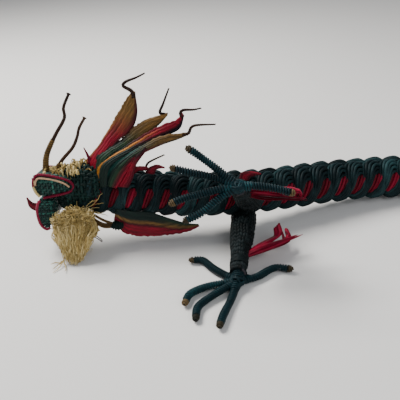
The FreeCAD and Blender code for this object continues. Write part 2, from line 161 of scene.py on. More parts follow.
def new_piece(name, points, faces, materials, slots=None, **values):
    """Smooth mesh object from points in mm, with named values at its points."""
    mesh = bpy.data.meshes.new(name)
    mesh.from_pydata((points * MM).tolist(), [], faces)
    for key, value in values.items():
        kind, field = POINT_VALUES[key]
        mesh.attributes.new(key, kind, "POINT").data.foreach_set(field, np.asarray(value, np.float32).ravel())
    for material in materials:
        mesh.materials.append(material)
    if slots:
        mesh.polygons.foreach_set("material_index", slots)
    mesh.polygons.foreach_set("use_smooth", [True] * len(mesh.polygons))
    mesh.update()
    piece = bpy.data.objects.new(name, mesh)
    bpy.context.scene.collection.objects.link(piece)
    return piece


def placed(piece, body, slot, *nodes):
    """Puts a piece on its body and hides the CAD nodes that it stands for."""
    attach(piece, body)
    if nodes:
        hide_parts(*nodes)
    return piece


def cross_frames(path, start=None):
    """Two axes across a path, carried along it without twisting."""
    tangent = np.gradient(path, axis=0)
    tangent /= np.maximum(np.linalg.norm(tangent, axis=1, keepdims=True), 1e-9)
    side = np.cross(tangent[0], [0, 0, 1.0]) if start is None else np.asarray(start, float)
    if np.linalg.norm(side) < 0.1:
        side = np.cross(tangent[0], [0, 1.0, 0])
    sides = []
    for t in tangent:
        side = unit(side - t * (side @ t))
        sides.append(side)
    return np.array(sides), np.cross(tangent, sides)


class Strands:
    """Gathers round or flat strands into one mesh. Each point keeps a tone, the
    same all over its strand, and its place in the strand's own fibres."""

    def __init__(self):
        self.points, self.faces, self.tones, self.fibres, self.slots = [], [], [], [], []
        self.count = 0

    def add(self, path, radius, sides=6, flat=1.0, tone=None, slot=0, twist=0.0, start=None):
        path = np.asarray(path, float)
        n = len(path)
        width = np.broadcast_to(np.asarray(radius, float), (n,))[:, None]
        a, b = cross_frames(path, start)
        length = distances(path)[:, None]
        angle = np.linspace(0, 2 * math.pi, sides, endpoint=False)
        across = a[:, None] * np.cos(angle)[:, None] + flat * b[:, None] * np.sin(angle)[:, None]
        turned = angle + twist * length
        shift = RNG.uniform(0, 400)
        fibre = np.stack([np.broadcast_to(length + shift, turned.shape), width * np.cos(turned),
                          width * np.sin(turned)], axis=-1)
        self.points.append((path[:, None] + width[..., None] * across).reshape(-1, 3))
        self.fibres.append(fibre.reshape(-1, 3))
        self.tones.append(np.full(n * sides, RNG.uniform(0, 1) if tone is None else tone))
        for i in range(n - 1):
            low, high = self.count + i * sides, self.count + (i + 1) * sides
            for j in range(sides):
                k = (j + 1) % sides
                self.faces.append((low + j, low + k, high + k, high + j))
        self.faces.append(tuple(self.count + j for j in reversed(range(sides))))
        self.faces.append(tuple(self.count + (n - 1) * sides + j for j in range(sides)))
        self.slots.extend([slot] * ((n - 1) * sides + 2))
        self.count += n * sides

    def build(self, name, materials):
        return new_piece(name, np.vstack(self.points), self.faces, materials, self.slots,
                         tone=np.concatenate(self.tones), fibre=np.vstack(self.fibres))


def finished(strands, name, materials, body, slot, *nodes):
    return placed(strands.build(name, materials), body, slot, *nodes)


def winding(strands, path, radius, pitch, thread, slot=0, tone=None):
    """Thread wound closely round a path: one long helix."""
    a, b = cross_frames(path)
    length = distances(path)
    turns = length[-1] / pitch
    at = np.linspace(0, length[-1], int(turns * 11))
    angle = np.linspace(0, 2 * math.pi * turns, len(at))[:, None]
    reach = np.interp(at, length, np.broadcast_to(radius, length.shape))[:, None]
    across = unit(sampled(at, length, a)) * np.cos(angle) + unit(sampled(at, length, b)) * np.sin(angle)
    strands.add(sampled(at, length, path) + reach * across, thread, sides=5, slot=slot, tone=tone, twist=1.2)


def grid_mesh(name, points, material, closed=False, **values):
    """Mesh from a grid of points, rows by columns. A closed one joins its last
    column to the first and has a face over its first and last row."""
    rows, columns = points.shape[:2]
    faces = []
    for i in range(rows - 1):
        low, high = i * columns, (i + 1) * columns
        for j in range(columns if closed else columns - 1):
            k = (j + 1) % columns
            faces.append((low + j, low + k, high + k, high + j))
    if closed:
        faces.append(tuple(reversed(range(columns))))
        faces.append(tuple((rows - 1) * columns + j for j in range(columns)))
    return new_piece(name, points.reshape(-1, 3), faces, [material], **values)


# ------------------------------------------------------------------ materials

def new_material(name, roughness=0.6, sheen=0.0, metallic=0.0, specular=0.5):
    material = bpy.data.materials.new(name)
    material.use_nodes = True
    shader = material.node_tree.nodes["Principled BSDF"]
    for key, value in (("Roughness", roughness), ("Metallic", metallic), ("Sheen Weight", sheen),
                       ("Sheen Roughness", 0.4), ("Specular IOR Level", specular)):
        shader.inputs[key].default_value = value
    return material, material.node_tree, shader


def feed(tree, target, value):
    """Sets a node's input to a number or a colour, or links an output to it."""
    if isinstance(value, (int, float)):
        target.default_value = value
    elif isinstance(value, tuple):
        target.default_value = (*value, 1)
    else:
        tree.links.new(value, target)


def new_node(tree, kind, inputs):
    node = tree.nodes.new("ShaderNode" + kind)
    for key, value in inputs.items():
        feed(tree, node.inputs[key], value)
    return node


def object_place(tree):
    return tree.nodes.new("ShaderNodeTexCoord").outputs["Object"]


def attribute(tree, name, output="Vector"):
    node = tree.nodes.new("ShaderNodeAttribute")
    node.attribute_name = name
    return node.outputs[output]


def ramp(tree, source, stops):
    node = new_node(tree, "ValToRGB", {"Fac": source})
    elements = node.color_ramp.elements
    while len(elements) < len(stops):
        elements.new(0.5)
    for element, (position, colour) in zip(elements, stops):
        element.position = position
        element.color = (*colour, 1)
    return node.outputs["Color"]


def noise(tree, vector, scale, detail=3.0, rough=0.6):
    inputs = {"Scale": scale, "Detail": detail, "Roughness": rough, "Vector": vector}
    return new_node(tree, "TexNoise", inputs).outputs["Fac"]


def streaked(tree, stretch, rough):
    """Noise drawn out along a piece's fibres."""
    node = new_node(tree, "Mapping", {"Vector": attribute(tree, "fibre")})
    node.inputs["Scale"].default_value = stretch
    return noise(tree, node.outputs["Vector"], 1.0, 4.0, rough)


def mix(tree, factor, a, b, mode="MIX"):
    node = tree.nodes.new("ShaderNodeMix")
    node.data_type = "RGBA"
    node.blend_type = mode
    for index, value in ((0, factor), (6, a), (7, b)):
        feed(tree, node.inputs[index], value)
    return node.outputs[2]


def calculate(tree, operation, a, b):
    node = tree.nodes.new("ShaderNodeMath")
    node.operation = operation
    feed(tree, node.inputs[0], a)
    feed(tree, node.inputs[1], b)
    return node.outputs[0]


def weighted(tree, first, *others):
    """Sum of (source, weight) pairs."""
    total = calculate(tree, "MULTIPLY", *first)
    for pair in others:
        total = calculate(tree, "ADD", total, calculate(tree, "MULTIPLY", *pair))
    return total


def surface(tree, shader, colour, rough_source, rough, height=None, strength=0.0, distance=0.0):
    """Base colour, roughness that varies between two values, and fine relief."""
    tree.links.new(colour, shader.inputs["Base Color"])
    spread = new_node(tree, "MapRange", {"Value": rough_source, "To Min": rough[0], "To Max": rough[1]})
    tree.links.new(spread.outputs["Result"], shader.inputs["Roughness"])
    if height is not None:
        relief = new_node(tree, "Bump", {"Strength": strength, "Distance": distance * MM, "Height": height})
        tree.links.new(relief.outputs["Normal"], shader.inputs["Normal"])


BLACK, WHITE = (0.0, 0.0, 0.0), (1.0, 1.0, 1.0)
DUST, BARE_LEATHER = (0.28, 0.26, 0.24), (0.035, 0.022, 0.014)
# What paint is multiplied by: painted shade in its grooves, plain over most of it, and on its ridges the
# brushed streaks lightened as painted highlight.
GROOVE_SHADE, PLAIN, BRUSHED_HIGHLIGHT = (0.16, 0.17, 0.18), (0.85, 0.82, 0.8), (1.9, 1.7, 1.4)


def cord_material(name, dark, middle, light, rough=(0.42, 0.7), streak=(0.25, 2.6, 2.6), dust_share=0.02,
                  specular=0.12):
    """Dyed fibre: streaks that run along each strand, strands of differing
    depth of dye, patches of fading and a little dust on top. In the green
    and teal cords the lightest streaks are partly painted highlight, the
    sheen on the strands."""
    material, tree, shader = new_material(name, specular=specular)
    place = object_place(tree)
    streaks = streaked(tree, streak, 0.65)
    tone = attribute(tree, "tone", "Fac")
    depth = weighted(tree, (streaks, 0.55), (tone, 0.28), (noise(tree, place, 90.0), 0.3))
    # Dark to light by depth of dye; in the teal cords the lightest is partly painted highlight.
    colour = ramp(tree, depth, [(0.32, dark), (0.56, middle), (0.82, light)])
    specks = ramp(tree, noise(tree, place, 420.0, 2.0), [(0.56, BLACK), (0.74, WHITE)])
    colour = mix(tree, calculate(tree, "MULTIPLY", specks, dust_share), colour, DUST)
    surface(tree, shader, colour, streaks, rough, streaks, 0.55, 0.35)
    return material


def paint_material(name):
    """Painted leather: the paint's own colours in brushed streaks that run along
    the piece, with painted shade in its grooves and painted highlight on its
    ridges, rubbed through in spots."""
    material, tree, shader = new_material(name, specular=0.18)
    place = object_place(tree)
    broad = streaked(tree, (0.035, 0.55, 1.0), 0.6)
    fine = streaked(tree, (0.09, 2.4, 1.0), 0.7)
    streaks = weighted(tree, (broad, 0.6), (fine, 0.5))
    # Painted shade in the grooves and painted highlight on the ridges of the brushed streaks.
    shade = ramp(tree, streaks, [(0.36, GROOVE_SHADE), (0.52, PLAIN), (0.7, BRUSHED_HIGHLIGHT)])
    colour = mix(tree, 1.0, attribute(tree, "paint", "Color"), shade, "MULTIPLY")
    worn = ramp(tree, noise(tree, place, 260.0, 4.0, 0.7), [(0.58, BLACK), (0.78, WHITE)])
    colour = mix(tree, calculate(tree, "MULTIPLY", worn, 0.4), colour, BARE_LEATHER)
    height = weighted(tree, (streaks, 2.0), (noise(tree, place, 900.0), 1.0))
    surface(tree, shader, colour, streaks, (0.4, 0.68), height, 0.5, 0.35)
    return material


def weave_material(name, dark, light):
    """Tight plain weave of shiny dyed fibre, in two directions across the piece."""
    material, tree, shader = new_material(name, sheen=0.1)
    place = object_place(tree)
    bands = []
    for direction in ("X", "Z"):
        wave = new_node(tree, "TexWave", {"Scale": 150.0, "Distortion": 1.2, "Vector": place})
        wave.bands_direction = direction
        bands.append(wave.outputs["Fac"])
    height = calculate(tree, "MULTIPLY", *bands)
    # Colour follows the weave's relief: painted shade where the threads dip, painted highlight where they
    # rise, with random patches.
    depth = weighted(tree, (height, 0.6), (noise(tree, place, 140.0), 0.5))
    colour = ramp(tree, depth, [(0.25, dark), (0.8, light)])
    surface(tree, shader, colour, height, (0.7, 0.4), height, 0.6, 0.5)
    return material


def metal_material(name, dark, light):
    material, tree, shader = new_material(name, metallic=1.0)
    marks = noise(tree, object_place(tree), 300.0)
    surface(tree, shader, ramp(tree, marks, [(0.3, dark), (0.7, light)]), marks, (0.25, 0.5))
    return material


# Each cord's colours from its darkest to its lightest; in the green and teal cords the lightest is partly dye
# and partly painted highlight, the sheen on the strands. Raffia's streaks are long, a thread's short.
RAFFIA_STREAK = (0.12, 2.0, 2.0)
GREEN_CORD = cord_material("green_cord", (0.0003, 0.0016, 0.002), (0.0025, 0.0105, 0.0125),
                           (0.02, 0.062, 0.066))
RED_CORD = cord_material("red_core", (0.02, 0.0005, 0.002), (0.12, 0.002, 0.011), (0.3, 0.008, 0.034))
# Near-black underlayer beneath cords, stitches and windings: painted shade that shows in the gaps between
# them.
PAINTED_SHADE_UNDER = cord_material("painted_shade_under", (0.001, 0.002, 0.002), (0.003, 0.006, 0.006), (0.008, 0.013, 0.013))
TEAL_THREAD = cord_material("teal_thread", (0.0005, 0.004, 0.0055), (0.0028, 0.02, 0.026),
                            (0.014, 0.105, 0.118), streak=(0.5, 2.0, 2.0), rough=(0.35, 0.6))
KNIT_CORD = cord_material("knit_cord", (0.0004, 0.0015, 0.0016), (0.002, 0.0055, 0.006),
                          (0.014, 0.022, 0.024))
RING_CORD = cord_material("ring_cord", (0.008, 0.01, 0.011), (0.04, 0.036, 0.042), (0.16, 0.13, 0.15))
SKULL_CORD = cord_material("skull_cord", (0.001, 0.004, 0.0035), (0.003, 0.014, 0.012), (0.014, 0.052, 0.044))
SHINY_TEAL = cord_material("shiny_teal", (0.0004, 0.003, 0.003), (0.003, 0.02, 0.017), (0.035, 0.17, 0.13),
                           rough=(0.3, 0.5), specular=0.25)
PIPING_RED = cord_material("piping_red", (0.045, 0.001, 0.006), (0.16, 0.004, 0.024), (0.38, 0.045, 0.085),
                           dust_share=0.03)
CREAM_CORD = cord_material("cream", (0.3, 0.16, 0.08), (0.55, 0.36, 0.22), (0.8, 0.62, 0.45))
GOLD_TAPE = cord_material("gold_tape", (0.014, 0.007, 0.003), (0.085, 0.045, 0.012), (0.26, 0.16, 0.045),
                          streak=(0.3, 1.4, 1.4))
WIRE_WRAP = cord_material("wire_wrap", (0.006, 0.003, 0.002), (0.022, 0.01, 0.007), (0.085, 0.045, 0.022))
STRAW = cord_material("straw", (0.16, 0.1, 0.03), (0.48, 0.35, 0.125), (0.8, 0.66, 0.36),
                      streak=RAFFIA_STREAK, rough=(0.45, 0.75))
RED_RAFFIA = cord_material("red_raffia", (0.035, 0.0006, 0.004), (0.17, 0.002, 0.018), (0.42, 0.012, 0.05),
                           streak=RAFFIA_STREAK, rough=(0.3, 0.6))
BROWN_TIP = cord_material("brown_tip", (0.006, 0.01, 0.009), (0.04, 0.032, 0.018), (0.22, 0.14, 0.06))
PAINTED = paint_material("painted_leather")
WOVEN = weave_material("woven_cover", (0.001, 0.005, 0.005), (0.006, 0.034, 0.03))
STEEL = metal_material("wire_steel", (0.288, 0.288, 0.3), (0.48, 0.48, 0.5))


# ------------------------------------------------------------- knotted body

KNOT_CORDS = 6
CORD_RADIUS = 1.32
KNOT_STEPS = 40


def pitch_at(x):
    return (13.2 + 3.3 * smoothstep((x + 250) / 190)) * (0.35 + 0.65 * spine_scale(x))


def knot_places(start, end):
    places, x = [], start
    while x < end:
        places.append(x)
        x += float(pitch_at(x))
    return places


# A knot's outermost and innermost cord, as (mm along the body, mm round from the
# ridge): tucked foot, diagonal below the red, bar up the flank, lobe on the back.
OUTER_CORD = [(-22, 44), (-15.5, 39), (-9.8, 33.5), (-7, 27.5), (-5.8, 21), (-6.5, 13), (-4, 5.5), (2, 1.2),
              (9.5, 0.2), (17, 2)]
INNER_CORD = [(-17, 51), (-9, 45.5), (-2.5, 39.5), (-0.6, 32), (0.2, 24.5), (2.4, 18.6), (5.8, 15.4),
              (9.5, 14.4), (12.5, 14.8), (15, 17)]


def knot_cord(x, side, share):
    """One cord of a knot, share 0 on its outside to 1 on its inside."""
    size = float(spine_scale(x))
    reach = float(pitch_at(x)) / 16.5
    points = [(lerp(a[0], b[0], share), lerp(a[1], b[1], share), 0.0) for a, b in zip(OUTER_CORD, INNER_CORD)]
    flat = smooth_path(points, KNOT_STEPS)
    steps = np.linspace(0, 1, KNOT_STEPS)
    along = x + flat[:, 0] * reach * size
    girth = flat[:, 1] * size
    bundle = math.sin(math.pi * (0.08 + 0.84 * share))
    crown = 2.9 * bundle * smoothstep((steps - 0.48) / 0.2)
    bar = 1.3 * bundle
    tuck = 6.0 * (1 - smoothstep(steps / 0.16)) + 6.5 * (1 - smoothstep((1 - steps) / 0.2))
    waist = 1.7 * np.exp(-((steps - 0.44) / 0.1) ** 2)
    depth = (CORD_RADIUS + 1.7 - crown - bar + tuck + waist) * size
    return body_surface(along, np.clip(girth, 0, HALF_GIRTH), side, depth)


def red_cord(x, side, share):
    """Cord of the red core where it shows between two bars."""
    size = float(spine_scale(x))
    reach = float(pitch_at(x)) / 16.5
    steps = np.linspace(0, 1, 12)
    along = x + (lerp(-4.6, 2.8, steps) + lerp(-4.2, 4.2, share)) * reach * size
    girth = lerp(40.0, 17.0, steps) * size
    depth = (4.6 - 0.9 * math.sin(math.pi * share)) * size
    return body_surface(along, girth, side, np.full(12, depth))


def knotted(name, start, end):
    """Green knots over a dark inside that is painted shade between the cords, and the red core showing
    between the bars.
    """
    green, red, inside = Strands(), Strands(), Strands()
    line = np.linspace(start, end, max(4, int((end - start) / 6)))
    inside.add(spine_point(line), (HALF_HEIGHT - 3.4) * spine_scale(line), sides=20, flat=0.74, start=DORSAL)
    for x in knot_places(start, end):
        for side, offset in ((1, 0.0), (-1, 0.5)):
            place = x + offset * float(pitch_at(x))
            if place > end - 6:
                continue
            size = float(spine_scale(place))
            dye = RNG.uniform(0.1, 0.8)
            for k in range(KNOT_CORDS):
                path = knot_cord(place, side, k / (KNOT_CORDS - 1)) + RNG.normal(0, 0.16, 3)
                radius = CORD_RADIUS * size * RNG.uniform(0.9, 1.12)
                tone = float(np.clip(dye + RNG.uniform(-0.2, 0.3), 0, 1))
                green.add(above_table(path, CORD_RADIUS), radius, sides=8, tone=tone, twist=0.8)
            window = place + 0.46 * float(pitch_at(place))
            for k in range(4):
                red.add(above_table(red_cord(window, side, k / 3), 1.5), 1.25 * size, sides=8, twist=0.7)
    inner = inside.build(name + "_inside", [PAINTED_SHADE_UNDER])
    return green.build(name + "_knots", [GREEN_CORD]), red.build(name + "_red_core", [RED_CORD]), inner


def body_pieces():
    """The cord body in three lengths. The trunk goes on its body; the neck and tail are fixed in place on no
    body.
    """
    for name, start, end, bodies, bend in (
            ("trunk", NECK_X + 24, TAIL_X - 26, ["trunk"], None),
            ("neck", NECK_START + 2, NECK_X + 24, ["head", "trunk"], (NECK_X - 18, NECK_X + 20)),
            ("tail", TAIL_X - 26, TAIL_END, ["trunk", "tail"], (TAIL_X - 20, TAIL_X + 20))):
        green, red, inside = knotted(name, start, end)
        for piece in (green, red, inside):
            if bend:
                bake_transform(piece)
            else:
                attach(piece, *bodies)
        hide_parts(name + "_sinnet")
        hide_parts(name + "_core")


# -------------------------------------------------------------------- limbs

LIMB_ROOT, WRIST, FINGER = 9.5, 6.4, 2.8
PALM_REACH = 10.0


def off_spine(x, up, left):
    dorsal, side, _ = spine_axes(x)
    return spine_point(x) + dorsal * up + side * left


FLAT_HAND = [
    [(-15, 16), (-24, 28), (-32, 29)],
    [(-19, -2), (-33, -9), (-37, -18)],
    [(-17, -12), (-28, -22), (-30, -33)],
    [(-6, -17), (-12, -32), (-15, -41)],
    [(14, 5), (28, 14), (39, 12)],
]
RAISED_FINGERS = [
    [(-24, -51, 83), (-35, -47, 91), (-41, -45, 95)],
    [(-24, -54, 77), (-41, -52, 81), (-52, -50, 84)],
    [(-27, -59, 70), (-43, -60, 67), (-54, -62, 64)],
    [(-24, -62, 65), (-35, -66, 58), (-45, -68, 54)],
    [(2, -59, 72), (15, -61, 70.5), (25, -63, 68)],
]
FINGER_HEIGHT = 3.4


def flat_fingers(palm, side, turn):
    """Fingers of a hand lying flat: side is 1, or -1 for its mirror image."""
    cos, sin = math.cos(math.radians(turn)), math.sin(math.radians(turn))
    return [[np.array([palm[0] + x * cos - y * sin, palm[1] + side * (x * sin + y * cos), FINGER_HEIGHT])
             for x, y in finger] for finger in FLAT_HAND]


def limb(hand, root, palm, drop, fingers, tuft, lift, spread=1.0):
    way = unit(palm - root)
    return SimpleNamespace(hand=hand, root=root, palm=palm, drop=np.array([0, 0, drop]), fingers=fingers,
                           tuft=tuft, lift=np.array(lift, float), spread=spread, way=way,
                           wrist=palm - way * PALM_REACH)


RIGHT_PALM = shoulder_point(-12, -73, 8.2)
LEFT_FOOT_PALM, RIGHT_FOOT_PALM = np.array([88, -78, 8.2]), np.array([100, 55, 8.2])
LIMBS = {
    "left_arm": limb("left_hand", off_spine(SHOULDER_X, 0.0, 16.3), shoulder_point(-10, -58, 72), 0.0,
                     [[shoulder_point(*p) for p in finger] for finger in RAISED_FINGERS],
                     shoulder_point(34, -45, 54), (1, 0, -5), 0.12),
    "right_arm": limb("right_hand", off_spine(SHOULDER_X, -16.3, 3.0), RIGHT_PALM, 3.8,
                      flat_fingers(RIGHT_PALM, 1, 0), shoulder_point(31, -30, 15), (1, 9, 4)),
    "left_leg": limb("left_foot", off_spine(HIP_X, -2.0, 16.3), LEFT_FOOT_PALM, 3.8,
                     flat_fingers(LEFT_FOOT_PALM, 1, 6), np.array([124, -66, 13.0]), (1, 3, 3), 0.4),
    "right_leg": limb("right_foot", off_spine(HIP_X, -2.0, -16.3), RIGHT_FOOT_PALM, 3.8,
                      flat_fingers(RIGHT_FOOT_PALM, -1, 3), np.array([141, 22, 15.0]), (1, -3, 3), 0.4),
}


def sleeve_radius(share):
    return lerp(LIMB_ROOT, WRIST - 1.1, smoothstep(share * 1.1)) + 0.9 * np.sin(math.pi * share) ** 2


STITCH_COLUMNS, STITCH_PITCH = 11, 3.6
STITCH_WIDTHS = [0.5, 1.1, 1.3, 1.3, 1.05, 0.45]


def knit_sleeve(name, plan):
    """Columns of V stitches over a dark tube, painted shade between the stitches, drawn in at the end by two
    rings.
    """
    knit = Strands()
    length = np.linalg.norm(plan.wrist - plan.root) + 5.5
    line = np.linspace(0, 1, 24)
    path = plan.root + plan.way * (line * length)[:, None]
    knit.add(path[:-1], sleeve_radius(line[:-1]) - 2.0, sides=18, slot=1)
    a, b = (axis[0] for axis in cross_frames(path))
    rows = int(length / STITCH_PITCH)
    half = math.pi / STITCH_COLUMNS
    t = np.linspace(0, 1, len(STITCH_WIDTHS))
    for row in range(rows):
        share = (row + 0.1 + 1.35 * t) / rows
        centre = plan.root + plan.way * (np.minimum(share, 1.0) * length)[:, None]
        for column in range(STITCH_COLUMNS):
            middle = 2 * half * column + 0.05 * math.sin(row * 1.3)
            swell = 1.1 + RNG.uniform(-0.35, 0.45)
            dye = RNG.uniform(0, 1)
            radius = sleeve_radius(np.clip(share, 0, 1)) - 1.5 + swell * np.sin(math.pi * (0.1 + 0.8 * t))
            for direction in (1, -1):
                angle = (middle + direction * half * (0.98 - 0.86 * t))[:, None]
                stitch = centre + radius[:, None] * (a * np.cos(angle) + b * np.sin(angle))
                knit.add(above_table(stitch, 1.2), STITCH_WIDTHS, sides=6, tone=dye, twist=0.6)
    ends = plan.root + plan.way * np.linspace(length - 2.2, length + 0.6, 5)[:, None]
    winding(knit, ends, WRIST - 1.5, 1.7, 0.95, slot=2)
    finished(knit, name + "_knit", [KNIT_CORD, PAINTED_SHADE_UNDER, RING_CORD], name, "green_knitted_sleeve",
             name + "_sleeve")


FINGER_STEPS, WORN_STEPS = 60, 6


def wrapped_fingers(plan):
    """Thread wound over each bent wire, worn brown and frayed at its rounded end."""
    threads = Strands()
    worn = FINGER_STEPS - WORN_STEPS
    for points in plan.fingers:
        start = lerp(plan.palm - plan.drop, points[0], 0.12)
        end = points[-1] + unit(points[-1] - points[-2]) * 2.4
        path = smooth_path([start] + points + [end], FINGER_STEPS)
        path += np.sin(np.linspace(0, RNG.uniform(5, 9), FINGER_STEPS))[:, None] * RNG.normal(0, 0.25, 3)
        above_table(path, FINGER + 0.2)
        left = np.linspace(distances(path)[-1], 0, FINGER_STEPS)
        dome = np.sqrt(np.clip(1 - (1 - np.minimum(left / 2.6, 1)) ** 2, 0.03, 1))
        lumps = 1 + 0.05 * np.sin(np.linspace(0, RNG.uniform(8, 14), FINGER_STEPS) + RNG.uniform(0, 6))
        radius = (FINGER - 0.7) * dome * lumps
        # Dark core under the winding: painted shade between the turns of thread.
        threads.add(path, np.maximum(radius - 0.2, 0.1), sides=10, slot=1)
        winding(threads, path[:worn + 1], radius[:worn + 1], RNG.uniform(1.65, 1.85), 0.8,
                tone=RNG.uniform(0.1, 0.5))
        winding(threads, path[worn:], radius[worn:], 1.2, 0.6, slot=2)
    finished(threads, plan.hand + "_threads", [TEAL_THREAD, PAINTED_SHADE_UNDER, BROWN_TIP], plan.hand,
             "wrapped_thread", plan.hand + "_fingers")


PALM_WRAPS, WRAP_RADIUS, PALM_FLATTENING = 14, 5.0, np.array([1.0, 1.0, 0.75])


def wound_palm(plan):
    """Thread wound criss-cross between the fingers where they meet, and round
    the wire's way into the sleeve."""
    knot = Strands()
    base, centre = plan.palm - plan.drop, plan.palm - plan.drop * 0.7
    thickness = np.linspace(3.1, 2.5, 8)
    for points in plan.fingers:
        out = unit(points[0] - base)
        path = above_table(base - out * 2 + out * np.linspace(0, 11, 8)[:, None], FINGER + 0.5)
        # Dark core under the winding: painted shade between the turns of thread.
        knot.add(path, thickness, sides=10, slot=1)
        winding(knot, path, thickness, 1.85, 0.86, tone=RNG.uniform(0.15, 0.55))
    turn = np.linspace(0, 2 * math.pi, 30)[:, None]
    for _ in range(PALM_WRAPS):
        tilt = unit(RNG.normal(0, 1, 3) + plan.way * 0.6)
        across = unit(np.cross(tilt, [0.3, 0.9, 0.2]))
        ring = WRAP_RADIUS * (across * np.cos(turn) + np.cross(tilt, across) * np.sin(turn))
        ring = ring + tilt * RNG.uniform(-1.5, 1.5)
        knot.add(above_table(centre + ring * PALM_FLATTENING, 1.0), 0.75, sides=6, tone=RNG.uniform(0.1, 0.5),
                 twist=0.8)
    neck = lerp(plan.wrist, centre, np.linspace(0, 1, 9)[:, None])
    # Dark core under the winding: painted shade between the turns of thread.
    knot.add(neck, 4.4, sides=12, slot=1)
    winding(knot, neck, 4.4, 1.6, 0.75, tone=0.2)
    finished(knot, plan.hand + "_knot", [TEAL_THREAD, PAINTED_SHADE_UNDER], plan.hand, "green_knitted_sleeve",
             plan.hand + "_palm")


def wrist_binding(name, plan):
    band = Strands()
    winding(band, plan.wrist - plan.way * np.linspace(8.0, 1.2, 8)[:, None], WRIST - 0.4, 1.7, 0.9)
    finished(band, name + "_whipping", [KNIT_CORD], name, "thread_binding", name + "_binding")


# A tuft's clumps, as (mm to the side, mm further out, whether its end curls up).
TUFT_CLUMPS = [(12.5, 2.3, True), (3.0, 1.5, True), (-10.0, 7.0, False)]
CLUMP_STRANDS, TUFT_STEPS = 7, 26


def raffia_tuft(name, plan):
    """Three clumps of broad raffia strands: two end in an upward curl, the third
    runs out straight and thin."""
    tuft = Strands()
    root = plan.wrist - plan.way * 9.0
    out = unit(plan.tuft - root)
    aside = unit(np.cross([0, 0, 1], out))
    t = np.linspace(0, 1, TUFT_STEPS)
    for sideways, further, curl in TUFT_CLUMPS:
        end = plan.tuft + aside * sideways * plan.spread + out * further
        bend = end - plan.lift if curl else lerp(root, end, 0.7)
        narrow = 1.0 if curl else 1.15 - 0.8 * t
        for _ in range(CLUMP_STRANDS):
            wander = aside * RNG.normal(0, 1.0) + np.array([0, 0, RNG.normal(0, 1.0)])
            reach = RNG.uniform(0.86, 1.0)
            points = [root + out * 3 + wander, lerp(root, bend, 0.5) + wander * 1.6,
                      lerp(root, bend, reach) + wander, lerp(root, end, reach) + wander * 0.7]
            path = above_table(smooth_path(points, TUFT_STEPS), 1.0)
            width = RNG.uniform(1.2, 1.8) * np.minimum(1, 0.5 + 4 * (1.02 - t)) * narrow
            tuft.add(path, width, sides=7, flat=0.3, twist=0.05)
    finished(tuft, name + "_raffia", [RED_RAFFIA], name, "red_raffia", name + "_tuft")


def limb_pieces():
    for name, plan in LIMBS.items():
        knit_sleeve(name, plan)
        wrist_binding(name, plan)
        raffia_tuft(name, plan)
        wrapped_fingers(plan)
        wound_palm(plan)


# --------------------------------------------------------------------- head

PANEL = [(-160, 45), (-162, 52), (-161, 60), (-156, 63), (-145, 61.5), (-136, 59), (-131, 54), (-133, 49),
         (-145, 46.5)]
JAW = [(-160, 42), (-163, 35), (-163, 27), (-160, 20), (-155, 18), (-151, 24), (-147, 31), (-149, 38),
       (-155, 42)]


UNDER_WEAVE = 0.89     # size of the stuffed jaws below their woven cover
EDGE_PULL = 0.86       # size of a jaw's outline at its sides, where it rounds over


def outline_loop(points, count):
    closed = smooth_path([(x, z, 0) for x, z in points + [points[0]]], count + 1)
    return closed[:-1, 0], closed[:-1, 1]


def crowned(share):
    """Size of a jaw's outline at a share of the way from its middle to a side."""
    return EDGE_PULL + (1 - EDGE_PULL) * math.sqrt(max(0.0, 1 - share ** 4))


def bulged(half_width, share):
    return half_width * math.copysign(abs(share) ** 0.8, share)


def padded_form(name, points, half_width, body, node):
    """Rounded pad between two sides of the same outline."""
    xs, zs = outline_loop(points, 48)
    cx, cz = xs.mean(), zs.mean()

    def row(shrink, side):
        return [head_point(cx + (x - cx) * shrink, cz + (z - cz) * shrink, side) for x, z in zip(xs, zs)]

    rows = [row(UNDER_WEAVE * crowned(share), bulged(half_width, share)) for share in np.linspace(-1, 1, 17)]
    for side in (1, -1):
        caps = [row(UNDER_WEAVE * EDGE_PULL * shrink, side * (half_width + swell))
                for shrink, swell in ((0.6, 1.2), (0.3, 1.8), (0.04, 2.0))]
        rows = rows + caps if side == 1 else caps[::-1] + rows
    piece = grid_mesh(name, np.array(rows), WOVEN, closed=True)
    placed(piece, body, "green_woven_cover", node)


def inside_spans(points, value, axis):
    """Where a line across an outline enters and leaves it."""
    hits = []
    for (x0, z0), (x1, z1) in zip(points, points[1:] + points[:1]):
        a0, a1, b0, b1 = (z0, z1, x0, x1) if axis == "z" else (x0, x1, z0, z1)
        if (a0 - value) * (a1 - value) < 0:
            hits.append(b0 + (b1 - b0) * (value - a0) / (a1 - a0))
    hits.sort()
    return list(zip(hits[::2], hits[1::2]))


